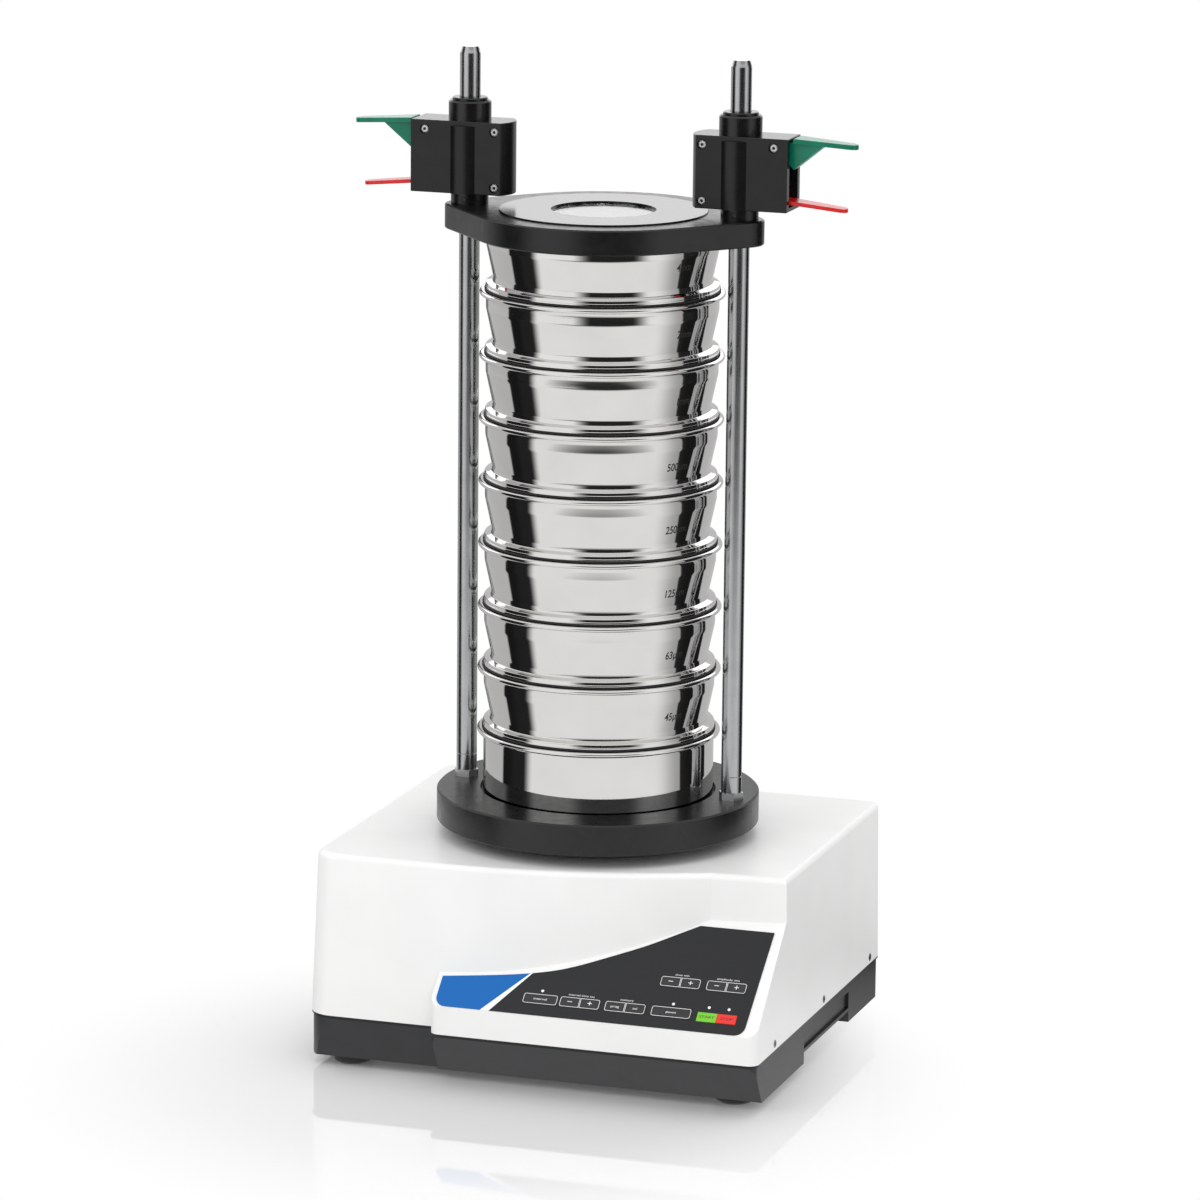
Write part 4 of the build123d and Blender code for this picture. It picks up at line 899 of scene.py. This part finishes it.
def floor_material():
    """Pale glossy table: white to the eye, with the object's shadow and faint reflection.
    Metal sees it fade out towards its front edge and darken at its sides."""
    made, tree, shader = finish_material("pale_table", {
        "Base Color": colour("#E9E9E9"), "Roughness": 0.05, "IOR": 1.7})
    light = add(tree, "ShaderNodeLightPath")
    place = add(tree, "ShaderNodeTexCoord")
    centred = add(tree, "ShaderNodeVectorMath", [
        (0, place.outputs["Object"]), (1, (0, STACK_Y, 0))], operation="SUBTRACT")
    split = add(tree, "ShaderNodeSeparateXYZ", [("Vector", centred.outputs[0])])
    ahead = add(tree, "ShaderNodeVectorMath", [
        (0, centred.outputs[0]),
        (1, (math.sin(CAMERA_AZIMUTH), -math.cos(CAMERA_AZIMUTH), 0))], operation="DOT_PRODUCT")
    fade = add(tree, "ShaderNodeMapRange", [
        ("Value", ahead.outputs["Value"]), ("From Min", 1.6), ("From Max", 2.8),
        ("To Min", 0.95), ("To Max", 0.03)])
    behind = add(tree, "ShaderNodeMapRange", [
        ("Value", ahead.outputs["Value"]), ("From Min", 0.05), ("From Max", -0.15),
        ("To Min", 1.0), ("To Max", 0.6)], interpolation_type="SMOOTHSTEP")
    level = add(tree, "ShaderNodeMath", [
        (0, fade.outputs["Result"]), (1, behind.outputs["Result"])], operation="MULTIPLY")
    screens = side_screens(tree, split.outputs["X"], split.outputs["Y"])
    reach = add(tree, "ShaderNodeVectorMath", [(0, centred.outputs[0])], operation="LENGTH")
    near = add(tree, "ShaderNodeMapRange", [
        ("Value", reach.outputs["Value"]), ("From Min", 0.42), ("From Max", 0.36)])
    sides = add(tree, "ShaderNodeMath", [
        (0, screens), (1, near.outputs["Result"])], operation="MAXIMUM")
    shade = add(tree, "ShaderNodeMath", [
        (0, level.outputs[0]), (1, sides.outputs[0])], operation="MULTIPLY")
    seen = add(tree, "ShaderNodeEmission", [("Color", shade.outputs[0]), ("Strength", 1.0)])
    lift = add(tree, "ShaderNodeEmission", [("Color", (1, 1, 1, 1)), ("Strength", 0.02)])
    lit = add(tree, "ShaderNodeAddShader", [(0, shader.outputs[0]), (1, lift.outputs[0])])
    white = add(tree, "ShaderNodeEmission", [("Color", (1, 1, 1, 1)), ("Strength", 1.0)])
    aside = add(tree, "ShaderNodeVectorMath", [
        (0, place.outputs["Object"]), (1, (-0.04, -0.16, 0))], operation="SUBTRACT")
    away = add(tree, "ShaderNodeVectorMath", [(0, aside.outputs[0])], operation="LENGTH")
    far = add(tree, "ShaderNodeMapRange", [
        ("Value", away.outputs["Value"]), ("From Min", 0.18), ("From Max", 0.44)],
        interpolation_type="SMOOTHSTEP")
    eye = add(tree, "ShaderNodeMixShader", [
        (0, far.outputs["Result"]), (1, lit.outputs[0]), (2, white.outputs[0])])
    plain = add(tree, "ShaderNodeMixShader", [
        (0, light.outputs["Is Camera Ray"]), (1, shader.outputs[0]), (2, eye.outputs[0])])
    mixed = add(tree, "ShaderNodeMixShader", [
        (0, light.outputs["Is Glossy Ray"]), (1, plain.outputs[0]), (2, seen.outputs[0])])
    tree.links.new(mixed.outputs[0], tree.nodes["Material Output"].inputs["Surface"])
    return made


def back_panel(strength, distance, low, high):
    """Bright panel behind the object that only reflections see; it gives the lid's top its sheen."""
    made, tree, shader = finish_material("back_panel", {"Roughness": 1.0})
    glow = add(tree, "ShaderNodeEmission", [("Color", (1, 1, 1, 1)), ("Strength", strength)])
    tree.links.new(glow.outputs[0], tree.nodes["Material Output"].inputs["Surface"])
    shape = bmesh.new()
    pairs = []
    for step in range(17):
        turn = CAMERA_AZIMUTH + math.radians(130 + 100 * step / 16)
        x = distance * math.sin(turn)
        y = STACK_Y - distance * math.cos(turn)
        pairs.append((shape.verts.new((x, y, low)), shape.verts.new((x, y, high))))
    for (a, b), (c, d) in zip(pairs, pairs[1:]):
        shape.faces.new((a, c, d, b))
    mesh = bpy.data.meshes.new("back_panel")
    shape.to_mesh(mesh)
    shape.free()
    panel = bpy.data.objects.new("back_panel", mesh)
    scene.collection.objects.link(panel)
    mesh.materials.append(made)
    panel.visible_camera = False
    panel.visible_diffuse = False
    panel.visible_shadow = False
    panel.visible_transmission = False


back_panel(strength=1.72, distance=1.5, low=0.85, high=1.5)
table_mesh = turned_mesh(((0, -10), (3200, -10), (3200, 0), (0, 0)), 0, 0, 0, Vector((0, 0, 1)), 96)
table = bpy.data.objects.new("table", table_mesh)
scene.collection.objects.link(table)
table_mesh.materials.append(floor_material())


def studio_world():
    """Even pale studio: white to the eye and in glass.
    Metal also sees the dark room behind the camera."""
    world = bpy.data.worlds.new("studio")
    scene.world = world
    world.use_nodes = True
    tree = world.node_tree
    place = add(tree, "ShaderNodeTexCoord")
    split = add(tree, "ShaderNodeSeparateXYZ", [("Vector", place.outputs["Generated"])])
    dark_way = CAMERA_AZIMUTH + math.radians(9)
    ahead = add(tree, "ShaderNodeVectorMath", [
        (0, place.outputs["Generated"]),
        (1, (math.sin(dark_way), -math.cos(dark_way), 0))], operation="DOT_PRODUCT")
    flat_square = add(tree, "ShaderNodeMath", [
        (0, split.outputs["Z"]), (1, split.outputs["Z"])], operation="MULTIPLY")
    rest = add(tree, "ShaderNodeMath", [(0, 1.0), (1, flat_square.outputs[0])], operation="SUBTRACT")
    flat = add(tree, "ShaderNodeMath", [(0, rest.outputs[0])], operation="SQRT")
    facing = add(tree, "ShaderNodeMath", [
        (0, ahead.outputs["Value"]), (1, flat.outputs[0])], operation="DIVIDE")
    wide = add(tree, "ShaderNodeMapRange", [
        ("Value", facing.outputs[0]), ("From Min", 0.76), ("From Max", 0.94)],
        interpolation_type="SMOOTHSTEP")
    tall = add(tree, "ShaderNodeMapRange", [
        ("Value", split.outputs["Z"]), ("From Min", 0.5), ("From Max", 0.38)],
        interpolation_type="SMOOTHSTEP")
    dark = add(tree, "ShaderNodeMath", [
        (0, wide.outputs[0]), (1, tall.outputs[0])], operation="MULTIPLY")
    room = add(tree, "ShaderNodeMapRange", [
        ("Value", dark.outputs[0]), ("To Min", 1.0), ("To Max", 0.02)])
    low = add(tree, "ShaderNodeMapRange", [
        ("Value", split.outputs["Z"]), ("From Min", 0.7), ("From Max", 0.5)],
        interpolation_type="SMOOTHSTEP")
    screens = side_screens(tree, split.outputs["X"], split.outputs["Y"])
    back = add(tree, "ShaderNodeMapRange", [
        ("Value", facing.outputs[0]), ("From Min", 0.05), ("From Max", -0.15),
        ("To Min", 1.0), ("To Max", 0.6)], interpolation_type="SMOOTHSTEP")
    around = add(tree, "ShaderNodeMath", [
        (0, screens), (1, back.outputs["Result"])], operation="MULTIPLY")
    sides = add(tree, "ShaderNodeMix", [
        (0, low.outputs["Result"]), (2, 1.0), (3, around.outputs[0])], data_type="FLOAT")
    metal = add(tree, "ShaderNodeMath", [
        (0, room.outputs["Result"]), (1, sides.outputs[0])], operation="MULTIPLY")
    light = add(tree, "ShaderNodeLightPath")
    ambient = add(tree, "ShaderNodeMix", [
        (0, light.outputs["Is Glossy Ray"]), (2, 1.0), (3, metal.outputs[0])], data_type="FLOAT")
    clear = add(tree, "ShaderNodeMath", [
        (0, light.outputs["Is Camera Ray"]), (1, light.outputs["Is Transmission Ray"])],
        operation="MAXIMUM")
    level = add(tree, "ShaderNodeMix", [
        (0, clear.outputs[0]), (2, ambient.outputs[0]), (3, 1.0)], data_type="FLOAT")
    sky = tree.nodes["Background"]
    sky.inputs["Color"].default_value = (1, 1, 1, 1)
    tree.links.new(level.outputs[0], sky.inputs["Strength"])


def softbox(name, place, aim, size, power):
    """Soft lamp; metal sees the studio's white, not the lamp's hot spot."""
    lamp = bpy.data.lights.new(name, "AREA")
    lamp.shape = "RECTANGLE"
    lamp.size = size[0]
    lamp.size_y = size[1]
    lamp.energy = power
    made = bpy.data.objects.new(name, lamp)
    scene.collection.objects.link(made)
    made.location = place
    made.rotation_euler = (Vector(aim) - Vector(place)).to_track_quat("-Z", "Y").to_euler()
    made.visible_glossy = False


studio_world()
softbox("key_light", (-1.6, -2.2, 2.4), (0, 0, 0.35), (1.6, 1.6), 11)
softbox("top_light", (0.2, 0.3, 2.8), (0, 0, 0.2), (1.8, 1.8), 12)
softbox("fill_light", (1.1, -2.8, 1.2), (0, 0, 0.15), (1.4, 1.4), 11)


def set_camera():
    """The photograph's viewpoint: a long lens from the front right, a little above."""
    back = Vector((
        math.sin(CAMERA_AZIMUTH) * math.cos(CAMERA_ELEVATION),
        -math.cos(CAMERA_AZIMUTH) * math.cos(CAMERA_ELEVATION),
        math.sin(CAMERA_ELEVATION),
    ))
    right = Vector((math.cos(CAMERA_AZIMUTH), math.sin(CAMERA_AZIMUTH), 0))
    up = back.cross(right)
    turned_right = math.cos(CAMERA_ROLL) * right + math.sin(CAMERA_ROLL) * up
    turned_up = math.cos(CAMERA_ROLL) * up - math.sin(CAMERA_ROLL) * right
    data = bpy.data.cameras.new("photo_camera")
    data.sensor_width = SENSOR_MM
    data.lens = FOCAL_PIXELS / PHOTO_PIXELS * SENSOR_MM
    camera = bpy.data.objects.new("photo_camera", data)
    scene.collection.objects.link(camera)
    turn = Matrix((turned_right, turned_up, back)).transposed()
    camera.matrix_world = Matrix.Translation(CAMERA_PLACE) @ turn.to_4x4()
    scene.camera = camera


set_camera()
scene.view_settings.view_transform = "Standard"
